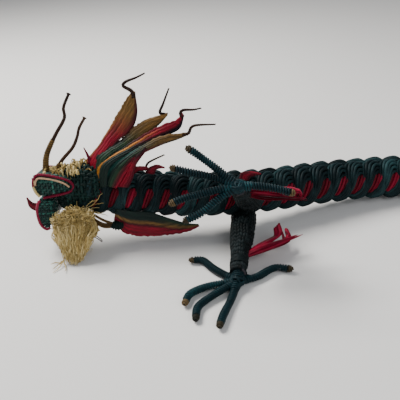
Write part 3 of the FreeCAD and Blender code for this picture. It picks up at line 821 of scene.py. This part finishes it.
def woven_side(strands, points, half_width, spacing, radius, swell=2.0):
    """Plain weave laid over both sides of a padded form."""
    xs, zs = outline_loop(points, 60)
    loop = list(zip(xs.tolist(), zs.tolist()))
    cx, cz = xs.mean(), zs.mean()
    reach_x, reach_z = np.ptp(xs) / 2, np.ptp(zs) / 2

    def raised(x, z):
        far = np.clip(((x - cx) / reach_x) ** 2 + ((z - cz) / reach_z) ** 2, 0, 1)
        return half_width + swell * (1 - far)

    for axis, low, high in (("z", zs.min(), zs.max()), ("x", xs.min(), xs.max())):
        rows = int((high - low) / spacing)
        for row in range(1, rows + 1):
            value = low + (row - 0.5) * spacing
            for start, end in inside_spans(loop, value, axis):
                if end - start < 2 * spacing:
                    continue
                t = np.linspace(start + 0.4, end - 0.4, max(6, int((end - start) / spacing * 3)))
                fixed = np.full_like(t, value)
                x, z = (t, fixed) if axis == "z" else (fixed, t)
                phase = math.pi * row + (0 if axis == "z" else math.pi)
                over = 0.55 * radius * np.cos(math.pi * t / spacing + phase)
                for side in (1, -1):
                    out = side * (raised(x, z) + over)
                    path = np.array([head_point(a, b, c) for a, b, c in zip(x, z, out)])
                    strands.add(path, radius, sides=5, twist=0.4)


def woven_rim(strands, points, half_width, spacing, radius):
    """The same weave carried over the front, top and back of a padded form: cords
    from side to side, crossed by cords that follow the outline."""
    count = 96
    xs, zs = outline_loop(points, count)
    cx, cz = xs.mean(), zs.mean()
    lines = int(2 * half_width / spacing)

    def on_rim(i, share, wave):
        shrink = crowned(share) * (UNDER_WEAVE + 0.03 * math.cos(math.pi * wave))
        x, z = xs[i % count], zs[i % count]
        return head_point(cx + (x - cx) * shrink, cz + (z - cz) * shrink, bulged(half_width, share))

    for line in range(lines):
        share = -0.92 + 1.84 * line / (lines - 1)
        around = [on_rim(i, share, i / 2.4 + line) for i in range(count + 1)]
        strands.add(around, radius, sides=5, twist=0.4)
    for i in range(0, count, 2):
        over = [on_rim(i, share, share * lines / 2 + i / 2) for share in np.linspace(-0.99, 0.99, 28)]
        strands.add(over, radius * 0.9, sides=5, twist=0.4)


def edge_cord(strands, points, side_reach, radius, slot=0, flat=1.0, ridged=True):
    """Cord laid along a line of (x, height) points on both sides of the head."""
    for side in (1, -1):
        path = smooth_path([head_point(x, h, side * side_reach) for x, h in points], 60)
        path += np.sin(np.linspace(0, 14, 60))[:, None] * RNG.normal(0, 0.07, 3)
        strands.add(path, radius, sides=8, twist=1.0, slot=slot, flat=flat)
        if ridged:
            winding(strands, path, radius * 0.92, radius * 1.5, radius * 0.35, slot=slot)


UPPER_PIPING = [(-161.2, 53), (-160.6, 58), (-156.5, 62), (-146, 60.4), (-137, 57.6), (-132.3, 54.5),
                (-131, 51), (-133.5, 48), (-139, 46.2), (-147, 44.9), (-155, 43.8)]
LIP_LINE = [(-159.3, 54), (-158.3, 57.5), (-155.5, 59.6), (-146, 58), (-138, 55), (-133.6, 51.5)]
LIP_STRIP = [(-160.2, 58), (-161.4, 53), (-160, 48), (-157.5, 44.5)]
JAW_PIPING = [(-158.6, 40.6), (-160.5, 38.8), (-161.8, 34.2), (-162.2, 28), (-161, 21.8),
              (-157.2, 17.4), (-154, 18)]


def jaw_pieces():
    padded_form("upper_jaw_pad", PANEL, 11.0, "head", "upper_jaw")
    weave = Strands()
    woven_side(weave, PANEL, 11.4, 2.1, 0.95)
    woven_rim(weave, PANEL, 11.2, 2.0, 0.85)
    finished(weave, "cheek_weave", [SHINY_TEAL], "head", "green_woven_cover")
    red, pale = Strands(), Strands()
    edge_cord(red, UPPER_PIPING, 13.0, 0.95)
    edge_cord(red, UPPER_PIPING[1:7], 11.8, 0.8)
    finished(red, "lip_piping", [PIPING_RED], "head", "red_piping", "upper_lip_piping")
    edge_cord(pale, LIP_LINE, 14.0, 0.7, ridged=False)
    edge_cord(pale, LIP_STRIP, 12.4, 1.5, slot=1, flat=0.7, ridged=False)
    finished(pale, "lip_cream_cord", [CREAM_CORD, STRAW], "head", "cream_cord", "upper_lip_cord")

    padded_form("lower_jaw_form", JAW, 8.4, "lower_jaw", "lower_jaw_pad")
    weave = Strands()
    woven_side(weave, JAW, 8.6, 1.9, 0.85, swell=1.6)
    woven_rim(weave, JAW, 8.6, 1.9, 0.8)
    finished(weave, "jaw_weave", [SHINY_TEAL], "lower_jaw", "green_woven_cover")
    red = Strands()
    edge_cord(red, JAW_PIPING, 10.4, 1.0)
    finished(red, "jaw_red_piping", [PIPING_RED], "lower_jaw", "red_piping", "jaw_piping")


def woven_ball(cover, centre, reach, lines, rings, radius):
    """Plain weave over an ellipsoid: cords from its front to its back, crossed by
    rings. Returns the grid of points of the dark form inside, painted shade
    between the cords."""
    def place(share, angle, wave=None):
        out = 0.93 if wave is None else 1 + 0.04 * math.cos(math.pi * wave)
        ring = math.sqrt(max(0.0, 1 - share ** 2)) * out
        return head_point(centre[0] + reach[0] * share * out, centre[1] + reach[1] * ring * math.cos(angle),
                          reach[2] * ring * math.sin(angle))

    for line in range(lines):
        angle = 2 * math.pi * (line + RNG.uniform(-0.2, 0.2)) / lines
        path = [place(share, angle, (share + 1) / 2 * rings + line) for share in np.linspace(-0.97, 0.97, 60)]
        cover.add(path, radius * RNG.uniform(0.85, 1.15), sides=6, twist=0.5)
    for ring in range(rings):
        share = -0.97 + 1.94 * (ring + 0.5 + RNG.uniform(-0.15, 0.15)) / rings
        path = [place(share, a, a * lines / 2 / math.pi + ring) for a in np.linspace(0, 2 * math.pi, 90)]
        cover.add(path, radius * 0.9, sides=6, twist=0.5)
    return np.array([[place(share, a) for a in np.linspace(0, 2 * math.pi, 28, endpoint=False)]
                     for share in np.linspace(-0.985, 0.985, 22)])


def skull_piece():
    """Woven head behind the jaws, and the woven throat below it."""
    for name, centre, reach, lines, rings, node in (
            ("skull", (-126.0, 47.5), (22.0, 17.5, 13.0), 30, 18, ["skull"]),
            ("throat", (-136.5, 38.0), (9.6, 8.5, 9.0), 22, 10, [])):
        cover = Strands()
        form = woven_ball(cover, centre, reach, lines, rings, 1.2)
        # Dark inside form: painted shade seen between the woven cords.
        placed(grid_mesh(name + "_inside", form, PAINTED_SHADE_UNDER, closed=True), "head", "green_woven_cover")
        finished(cover, name + "_weave", [SKULL_CORD], "head", "green_woven_cover", *node)


LEFT_HORN = [(-153, 62), (-151.5, 72), (-148, 80), (-141, 91), (-133.5, 102), (-133, 110), (-128, 119.5)]
RIGHT_HORN = [(-146, 62), (-141, 69), (-132, 78), (-127.5, 86), (-125, 93), (-120, 100.5)]
HORN_STEPS = 70


def horn(name, points, thick_share, side):
    """Tape-bound wire horn: a thick bound base, then a thin dark end with a knob."""
    bound = Strands()
    path = smooth_path([head_point(x, h, side) for x, h in points], HORN_STEPS)
    split = int(HORN_STEPS * thick_share)
    base, free = path[:split], path[split - 1:]
    share = np.linspace(0, 1, len(base))
    bound.add(base, 2.5 - 0.8 * share, sides=12)
    winding(bound, base, 2.45 - 0.8 * share, 1.9, 0.4)
    share = np.linspace(0, 1, len(free))
    bound.add(free, 1.45 - 0.45 * share, sides=10, slot=1)
    winding(bound, free, 1.3 - 0.4 * share, 1.5, 0.35, slot=1)
    knob = np.array([path[-1] + (path[-1] - path[-2]) * t for t in (-0.6, -0.2, 0.2, 0.6, 0.9)])
    bound.add(knob, [1.1, 1.8, 1.9, 1.5, 0.6], sides=10, slot=1)
    finished(bound, name + "_bound", [GOLD_TAPE, WIRE_WRAP], "head", "horn_binding", name)


def ribbon(strands, points, width, frizz, steps):
    """Flat strand of raffia along the points, with fine waves in it."""
    path = smooth_path(points, steps)
    t = np.linspace(0, 1, steps)
    for waves, share in ((RNG.uniform(2, 4), 1.0), (RNG.uniform(6, 11), 0.6), (RNG.uniform(12, 17), 0.25)):
        wave = np.sin(t * waves * math.pi + RNG.uniform(0, 6)) * t
        path += wave[:, None] * RNG.normal(0, frizz * share, 3)
    above_table(path, 0.8)
    taper = np.minimum(1, 0.4 + 2.6 * (1.02 - t)) * np.minimum(1, 0.5 + 4 * t)
    strands.add(path, width * taper, sides=4, flat=0.4, twist=0.15)


# Where each clump stands, how far it reaches along the head and up, and its loops.
FORELOCK_CLUMPS = [(-148, 61, 5, 5, 34), (-137, 60, 6, 8, 46), (-127, 58, 4.5, 12, 46)]


def forelock():
    """Three clumps of raffia loops between the horns and the crest."""
    lock = Strands()
    for x, h, reach_x, reach_h, count in FORELOCK_CLUMPS:
        for _ in range(count):
            side = RNG.uniform(-8, 10)
            low = h - 2 + RNG.normal(0, 1)
            start = (x + RNG.uniform(-1, 1) * reach_x, low)
            top = (start[0] + RNG.normal(0, 1.5), low + reach_h * RNG.uniform(0.5, 1.1))
            end = (top[0] + RNG.normal(0, 2.5), top[1] - RNG.uniform(0.2, 0.8) * reach_h)
            points = [head_point(*start, side), head_point(*top, side + RNG.normal(0, 1.5)),
                      head_point(*lerp(np.array(top), np.array(end), 0.5), side + RNG.normal(0.5, 1.5)),
                      head_point(*end, side + RNG.normal(1, 1.5))]
            ribbon(lock, points, RNG.uniform(0.6, 1.1), 0.5, steps=18)
    finished(lock, "forelock_raffia", [STRAW], "head", "straw_raffia", "forelock")


def beard_layer(name, count, near, far):
    """Strands that fall from the throat, from one depth of the sheaf to another."""
    sheaf = Strands()
    for _ in range(count):
        a, layer = RNG.uniform(0, 1), RNG.uniform(near, far)
        middle = 1 - abs(2 * a - 1)
        dome = 6 * middle ** 0.6
        root = head_point(lerp(-143, -121, a), 27 + dome + RNG.normal(0, 1.2), 6 + 7 * layer)
        high = head_point(lerp(-149, -117, a) + RNG.normal(0, 1.0), 19 + dome + RNG.normal(0, 1.5),
                          12 + 8 * layer)
        low = head_point(lerp(-146, -121, a) + RNG.normal(0, 1.2), 13 + RNG.normal(0, 1.5), 17 + 8 * layer)
        tip = shoulder_point(lerp(-140, -128, a) + RNG.normal(0, 1.3), -30 - 8 * layer + RNG.normal(0, 1.5),
                             1.0 + 3 * (1 - layer))
        share = np.clip(0.4 + 0.6 * middle ** 0.5 + RNG.normal(0, 0.13), 0.05, 1.0)
        ribbon(sheaf, [root, high, low, lerp(low, tip, share)], RNG.uniform(0.28, 0.6), 1.1, steps=34)
    return finished(sheaf, name, [STRAW], "head", "straw_raffia")


INNER_STRANDS, OUTER_STRANDS, TANGLES = 560, 620, 420
# Single strands that leave the heap: behind it (x, height), and along the table (x, y).
STRAY_ENDS = [(-108.7, 44.9), (-116.8, 40.5), (-112, 42), (-109, 38), (-113, 34), (-110, 30), (-107, 27)]
ENDS_ON_TABLE = [(-148, -41), (-150, -36), (-146, -44), (-139, -45)]


def beard():
    """Matted heap of fine raffia from the throat: domed on top, widest below the
    jaw, ragged and narrower where it reaches the table."""
    inner = beard_layer("beard_inner", INNER_STRANDS, 0.0, 0.5)
    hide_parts("beard")
    beard_layer("beard_outer", OUTER_STRANDS, 0.45, 1.0)
    sheaf = Strands()
    for _ in range(TANGLES):
        a = RNG.uniform(0.0, 0.97)
        dome = 7 * (1 - abs(2 * a - 1)) ** 0.6
        height = 27 + dome - 19 * RNG.uniform(0, 1) ** 1.3
        centre = head_point(lerp(-147, -118, a), height, 15 + RNG.uniform(0, 6))
        loop = [centre + head_vector(*RNG.normal(0, 2.3, 3)) for _ in range(5)]
        ribbon(sheaf, loop, RNG.uniform(0.28, 0.5), 0.6, steps=18)
    for x, h in STRAY_ENDS:
        start = head_point(-124 + RNG.normal(0, 1.5), 33 + RNG.normal(0, 2), 13)
        end = head_point(x, h, 15)
        ribbon(sheaf, [start, lerp(start, end, 0.5) + RNG.normal(0, 1, 3), end], RNG.uniform(0.35, 0.6), 0.35,
               steps=14)
    for x, y in ENDS_ON_TABLE:
        ribbon(sheaf, [head_point(-139, 8, 22), shoulder_point(-142, -36, 4), shoulder_point(x, y, 1.0),
                       shoulder_point(x - 1, y - 3, 2.0)], 0.45, 0.8, steps=16)
    finished(sheaf, "beard_top", [STRAW], "head", "straw_raffia")
    hairpin = Strands()
    hairpin.add(smooth_path([head_point(-121, 15, 22), head_point(-116, 11, 20), head_point(-113.2, 7.3, 18),
                             head_point(-113.6, 9.3, 18), head_point(-118, 14.5, 20)], 26), 0.35, sides=6)
    finished(hairpin, "beard_wire", [WIRE_WRAP], "head", "dark_wire")


# -------------------------------------------------------------- painted blades

CRIMSON, DARK_RED = (0.17, 0.003, 0.016), (0.045, 0.0015, 0.007)
RED_ORANGE, GOLD, BROWN_GOLD = (0.27, 0.014, 0.007), (0.30, 0.12, 0.014), (0.14, 0.078, 0.023)
GREEN, DARK_GREEN, TEAL = (0.012, 0.035, 0.018), (0.004, 0.013, 0.011), (0.01, 0.07, 0.06)
NIGHT = (0.002, 0.004, 0.01)


def blended(stops, t):
    """Colour at t from a list of (place, colour)."""
    places = [p for p, _ in stops]
    return np.stack([np.interp(t, places, [c[k] for _, c in stops]) for k in range(3)], axis=-1)


BLADE_ROWS, BLADE_COLUMNS, PLEATS = 48, 33, 5


def blade(name, node, body, front, back, middle, flare, flute, across_root, across_tip,
          slot="painted_leather", thickness=1.0):
    """Curved pointed blade between a front and a back edge, root to tip, pleated
    along its length. Its colours run across it, from one set of stripes at the
    root to one at the tip."""
    a, b = (smooth_path([(x, h, 0) for x, h in edge], BLADE_ROWS) for edge in (front, back))
    width = np.linalg.norm(a - b, axis=1)
    a = a + unit(a - b + 1e-6) * (RNG.uniform(-0.5, 0.4, BLADE_ROWS) * np.minimum(1, width / 6))[:, None]
    length = distances(a)[-1]
    phase = RNG.uniform(0, 6)
    shift = RNG.uniform(0, 90)
    points, colours, fibre = [], [], []
    v = np.linspace(0, 1, BLADE_COLUMNS)
    for i, u in enumerate(np.linspace(0, 1, BLADE_ROWS)):
        bow = flute * np.sin(math.pi * v) * (1 - 0.55 * u)
        pleats = 0.24 * np.sin(2 * math.pi * PLEATS * v + phase + 2 * u) * min(1.0, width[i] / 9)
        ripple = 0.5 * np.sin(9 * u + 3 * v) * u
        side = middle + flare * (1 - u) ** 2 * (v - 0.35) + bow + pleats + ripple
        x, h = (lerp(a[i, k], b[i, k], v) for k in (0, 1))
        points.append([head_point(*p) for p in zip(x, h, side)])
        share = smoothstep((u - 0.42) / 0.4)
        colours.append(lerp(blended(across_root, v), blended(across_tip, v), share))
        fibre.append(np.stack([0 * v + u * length, v * width[i] + shift, 0 * v + shift], axis=1))
    points = np.array(points)
    paint = np.concatenate([colours, np.ones((BLADE_ROWS, BLADE_COLUMNS, 1))], axis=2)
    piece = grid_mesh(name, points, PAINTED, paint=paint, fibre=fibre)
    solid = piece.modifiers.new("thickness", "SOLIDIFY")
    solid.thickness = thickness * MM
    solid.offset = 0
    placed(piece, body, slot, *([node] if node else []))


def crest():
    blade("crest_leaf_1", "crest_blade_1", "head",
          [(-121, 61), (-122, 68), (-111, 79), (-98, 97), (-88, 111), (-81, 119.5)],
          [(-108, 56), (-106, 70), (-96, 82), (-84, 91), (-79, 103), (-79.5, 118.5)],
          0.0, 10.0, 2.5,
          [(0, BROWN_GOLD), (0.15, CRIMSON), (0.8, CRIMSON), (1, DARK_GREEN)],
          [(0, BROWN_GOLD), (0.7, BROWN_GOLD), (0.9, DARK_RED), (1, NIGHT)])
    blade("crest_leaf_2", "crest_blade_2", "head",
          [(-119, 57), (-113, 73), (-94, 83), (-82, 93), (-70, 99), (-56, 102)],
          [(-108, 54), (-104, 69), (-89, 79), (-74, 86), (-63, 94), (-56.5, 100.5)],
          3.0, 12.0, 2.2,
          [(0, DARK_RED), (0.15, DARK_GREEN), (0.6, GREEN), (1, DARK_GREEN)],
          [(0, BROWN_GOLD), (0.3, BROWN_GOLD), (0.8, BROWN_GOLD), (1, GREEN)])
    blade("crest_leaf_3", "crest_blade_3", "head",
          [(-116, 48), (-112, 66), (-89, 79.5), (-65, 92), (-50, 97), (-45, 102)],
          [(-106, 50), (-101, 66), (-80, 76), (-62, 84), (-48, 90), (-44, 100)],
          7.0, 10.0, 2.0,
          [(0, DARK_GREEN), (0.12, DARK_GREEN), (0.2, GOLD), (0.32, GOLD), (0.4, DARK_GREEN),
           (1, DARK_GREEN)],
          [(0, CRIMSON), (0.45, CRIMSON), (0.62, DARK_RED), (0.75, NIGHT), (1, NIGHT)])
    blade("crest_leaf_4", "crest_blade_4", "head",
          [(-110, 51), (-103, 65), (-84, 76), (-62, 86), (-42, 87.5)],
          [(-98, 49), (-91, 59), (-82, 71), (-64, 79), (-50, 83), (-42, 86)],
          10.0, 8.0, 1.8,
          [(0, DARK_GREEN), (0.2, TEAL), (0.35, DARK_GREEN), (0.6, GREEN), (0.8, DARK_RED), (1, CRIMSON)],
          [(0, BROWN_GOLD), (0.6, BROWN_GOLD), (1, DARK_GREEN)])
    blade("crest_leaf_fold", "crest_fold", "head",
          [(-101, 50), (-94, 58), (-86, 68), (-74, 79)],
          [(-89, 49), (-85, 56), (-82, 66), (-73, 77)],
          12.0, 4.0, 1.2,
          [(0, DARK_RED), (0.4, CRIMSON), (1, DARK_RED)],
          [(0, DARK_GREEN), (0.5, DARK_RED), (1, DARK_RED)])


def throat_fin():
    blade("throat_leaf", "throat_fin", "head",
          [(-104, 20), (-97, 10), (-80, 5.8), (-60, 6.3), (-46, 8.5), (-37, 12.5)],
          [(-101, 31), (-88, 28), (-74, 26), (-62, 21), (-49, 15.5), (-37.5, 13.5)],
          8.0, 3.0, 2.6,
          [(0, CRIMSON), (0.38, CRIMSON), (0.5, DARK_RED), (0.6, BROWN_GOLD), (0.7, DARK_GREEN),
           (1, DARK_GREEN)],
          [(0, CRIMSON), (0.3, CRIMSON), (0.45, DARK_RED), (0.6, BROWN_GOLD), (0.85, GREEN), (1, DARK_GREEN)])
    stems = Strands()
    for height, side in ((29, 12.5), (26, 13.5), (23, 12.0)):
        stems.add(smooth_path([head_point(-122, height + 2, side), head_point(-112, height - 5, side + 1),
                               head_point(-102.5, 18 + 0.2 * height - 5, 12)], 16),
                  np.linspace(0.9, 1.3, 16), sides=7, twist=0.4)
    knob = smooth_path([head_point(-105, 19, 11.5), head_point(-101, 17.5, 11.5), head_point(-97, 17, 10.5)],
                       14)
    swell = 0.8 * np.sin(np.linspace(0.2, 3.0, 14))
    stems.add(knob, 2.3 + swell, sides=12, slot=1)
    winding(stems, knob, 2.5 + swell, 1.7, 0.7, slot=1)
    finished(stems, "throat_stems", [GOLD_TAPE, SKULL_CORD], "head", "horn_binding")


def small_red(name, node, body, front, back, middle):
    blade(name, node, body, front, back, middle, 0.0, 0.8,
          [(0, DARK_RED), (0.5, CRIMSON), (1, DARK_RED)], [(0, CRIMSON), (1, DARK_RED)],
          slot="red_leather", thickness=1.2)


def fins():
    small_red("neck_fin_front", "neck_dorsal_fin", "head",
              [(-93, 56), (-88, 60.5), (-79, 61.5), (-72, 59.5)],
              [(-86, 55), (-82, 58), (-77, 58.5), (-72, 58.8)], 1.0)
    small_red("neck_fin_rear", None, "head",
              [(-77, 56), (-73, 60.5), (-67, 62), (-61.5, 60)],
              [(-70, 55), (-68, 58.5), (-65, 59.5), (-61.5, 59.4)], 1.5)
    small_red("trunk_fin", "trunk_dorsal_fin", "trunk",
              [(-4, 48), (-2, 52.5), (5, 53), (13, 51)], [(3, 46), (5, 49), (9, 50), (13, 50.5)], 2.0)
    small_red("tongue_curl", "tongue", "lower_jaw",
              [(-162, 36.5), (-165.5, 35.8), (-168.5, 36.8), (-171.8, 41)],
              [(-162, 29.5), (-167, 30), (-170.8, 33.5), (-172.2, 40.5)], 0.0)
    spike = Strands()
    spike.add(smooth_path([head_point(-118.5, 66), head_point(-120, 72), head_point(-122.5, 78.5)], 12),
              np.linspace(1.7, 0.4, 12), sides=8)
    finished(spike, "head_spike_red", [PIPING_RED], "head", "red_leather", "head_spike")


# Each wire tendril: its thickness at the root, then its points.
CREST_TENDRILS = [
    (1.7, [(-80.5, 114, 1), (-82, 119, 0), (-88, 123, -1), (-85.5, 126, -1), (-78, 128.5, 0),
           (-71, 131.5, 2)]),
    (1.2, [(-58, 101, 3), (-62, 102.5, 3), (-59, 109, 4), (-54, 120, 4)]),
    (1.4, [(-45.5, 98, 7), (-46.5, 102, 7), (-44, 104, 7), (-37, 104, 8), (-31, 105, 9)]),
    (1.4, [(-46, 86.5, 10), (-41.5, 87, 10), (-39, 91.5, 10), (-34, 93, 11), (-21, 93, 12)]),
    (1.0, [(-77, 58, 1), (-75.5, 62, 1), (-72.5, 65, 1), (-61, 70, 2)]),
]
TAIL_TENDRILS = [
    (1.3, [(50, 43, -3), (47, 51, -3), (60, 58, -4)]),
    (1.3, [(62, 18.5, 0), (72, 25, 0), (84, 22, 1)]),
    (1.3, [(46, 3.6, 3), (56, 7, 3), (66, 2, 4)]),
]


def tendrils(name, body, node, plans, x=0.0, height=0.0):
    """Wires wound with fine thread, tapering to their tips."""
    strands = Strands()
    for wide, points in plans:
        path = smooth_path([head_point(x + along, height + up, side) for along, up, side in points], 30)
        width = np.linspace(wide, 0.5, 30)
        strands.add(path, width, sides=8, twist=0.6)
        winding(strands, path, width * 0.9, 1.6, 0.28)
    finished(strands, name, [WIRE_WRAP], body, "dark_wire", node)


# Each tail blade: its rise, its reach, its place to the side, and its stripes at root and tip.
TAIL_BLADES = [
    (46, 52, -3.0, [(0, DARK_RED), (0.5, CRIMSON), (1, DARK_GREEN)],
     [(0, BROWN_GOLD), (0.6, GOLD), (1, DARK_RED)]),
    (20, 66, 0.0, [(0, DARK_GREEN), (0.3, TEAL), (0.6, GOLD), (1, RED_ORANGE)],
     [(0, GREEN), (0.5, GOLD), (1, BROWN_GOLD)]),
    (4, 50, 3.0, [(0, CRIMSON), (0.5, RED_ORANGE), (1, NIGHT)],
     [(0, CRIMSON), (0.5, BROWN_GOLD), (1, DARK_RED)]),
]


def tail_flame():
    """Three blades, their wire tendrils and the binding that holds them."""
    root = TAIL_END - SHOULDER_X + 6
    height = 9.5
    for number, (lift, reach, side, across_root, across_tip) in enumerate(TAIL_BLADES, start=1):
        tip = (root + reach, height + lift)
        upper = (root + reach * 0.45, height + lift * 0.62 + 7)
        lower = (root + reach * 0.6, height + lift * 0.38 - 2)
        front = [(root - 3, height + 5), upper, tip]
        back = [(root - 3, height - 3), lower, (tip[0] - 0.5, tip[1] - 1)]
        blade("tail_leaf_%d" % number, "tail_blade_%d" % number, "tail", front, back, side, 0.0, 1.5,
              across_root, across_tip)
    tendrils("tail_tendril_wires", "tail", "tail_tendrils", TAIL_TENDRILS, root, height)
    band = Strands()
    start = spine_point(TAIL_END) + np.array([-1.5, 0, 1.0])
    path = start + np.linspace(0, 10.5, 10)[:, None] * np.array([1.0, 0, 0])
    # Dark core under the whipping: painted shade between the turns of thread.
    band.add(path, 6.2, sides=16, slot=1)
    winding(band, path, 6.9, 1.7, 0.9)
    finished(band, "tail_whipping", [TEAL_THREAD, PAINTED_SHADE_UNDER], "tail", "thread_binding", "tail_binding")


def wires():
    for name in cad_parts:
        if name.endswith("_wire") or name.endswith("_wires"):
            for slot in bpy.data.objects[name].material_slots:
                slot.material = STEEL


# ------------------------------------------------------- camera, floor, light

CAMERA_TILT, CAMERA_ROLL, LENS, SENSOR = math.radians(30), math.radians(3), 45.0, 36.0
CAMERA_PLACE = (SHOULDER_X - 35.44, -SWAY_WIDTH - 348.29, 230.75)


def camera():
    right = Vector((1, 0, 0))
    up = Vector((0, math.sin(CAMERA_TILT), math.cos(CAMERA_TILT)))
    back = Vector((0, -math.cos(CAMERA_TILT), math.sin(CAMERA_TILT)))
    across = right * math.cos(CAMERA_ROLL) - up * math.sin(CAMERA_ROLL)
    upright = right * math.sin(CAMERA_ROLL) + up * math.cos(CAMERA_ROLL)
    data = bpy.data.cameras.new("camera")
    data.lens = LENS
    data.sensor_width = SENSOR
    view = bpy.data.objects.new("camera", data)
    turn = Matrix((across, upright, back)).transposed().to_4x4()
    view.matrix_world = Matrix.Translation(Vector(CAMERA_PLACE) * MM) @ turn
    bpy.context.scene.collection.objects.link(view)
    bpy.context.scene.camera = view


def area_light(name, place, target, size, power, colour):
    data = bpy.data.lights.new(name, "AREA")
    data.shape = "DISK"
    data.size = size
    data.energy = power
    data.color = colour
    light = bpy.data.objects.new(name, data)
    light.location = place
    light.rotation_euler = (Vector(target) - Vector(place)).to_track_quat("-Z", "Y").to_euler()
    bpy.context.scene.collection.objects.link(light)


FLOOR_GREY, SKY_GREY, SKY_STRENGTH = (0.72, 0.71, 0.69, 1), (0.78, 0.8, 0.84, 1), 0.36


def stage():
    material, _, shader = new_material("plain_floor", roughness=0.9)
    shader.inputs["Base Color"].default_value = FLOOR_GREY
    bpy.ops.mesh.primitive_plane_add(size=6.0, location=(0, 0, 0))
    floor = bpy.context.object
    floor.name = "floor"
    floor.data.materials.append(material)
    world = bpy.data.worlds.new("world")
    world.use_nodes = True
    sky = world.node_tree.nodes["Background"]
    sky.inputs["Color"].default_value = SKY_GREY
    sky.inputs["Strength"].default_value = SKY_STRENGTH
    bpy.context.scene.world = world
    area_light("key", (-0.75, 0.35, 0.95), (-0.15, -0.05, 0.0), 0.6, 26.0, (1.0, 0.98, 0.95))
    area_light("fill", (0.35, -0.9, 0.8), (-0.1, 0, 0), 1.2, 7.0, (0.93, 0.96, 1.0))


camera()
stage()
body_pieces()
limb_pieces()
skull_piece()
jaw_pieces()
horn("left_horn", LEFT_HORN, 0.42, 3)
horn("right_horn", RIGHT_HORN, 0.12, -4)
forelock()
beard()
crest()
throat_fin()
fins()
tendrils("crest_tendril_wires", "head", "crest_tendrils", CREST_TENDRILS)
tail_flame()
wires()
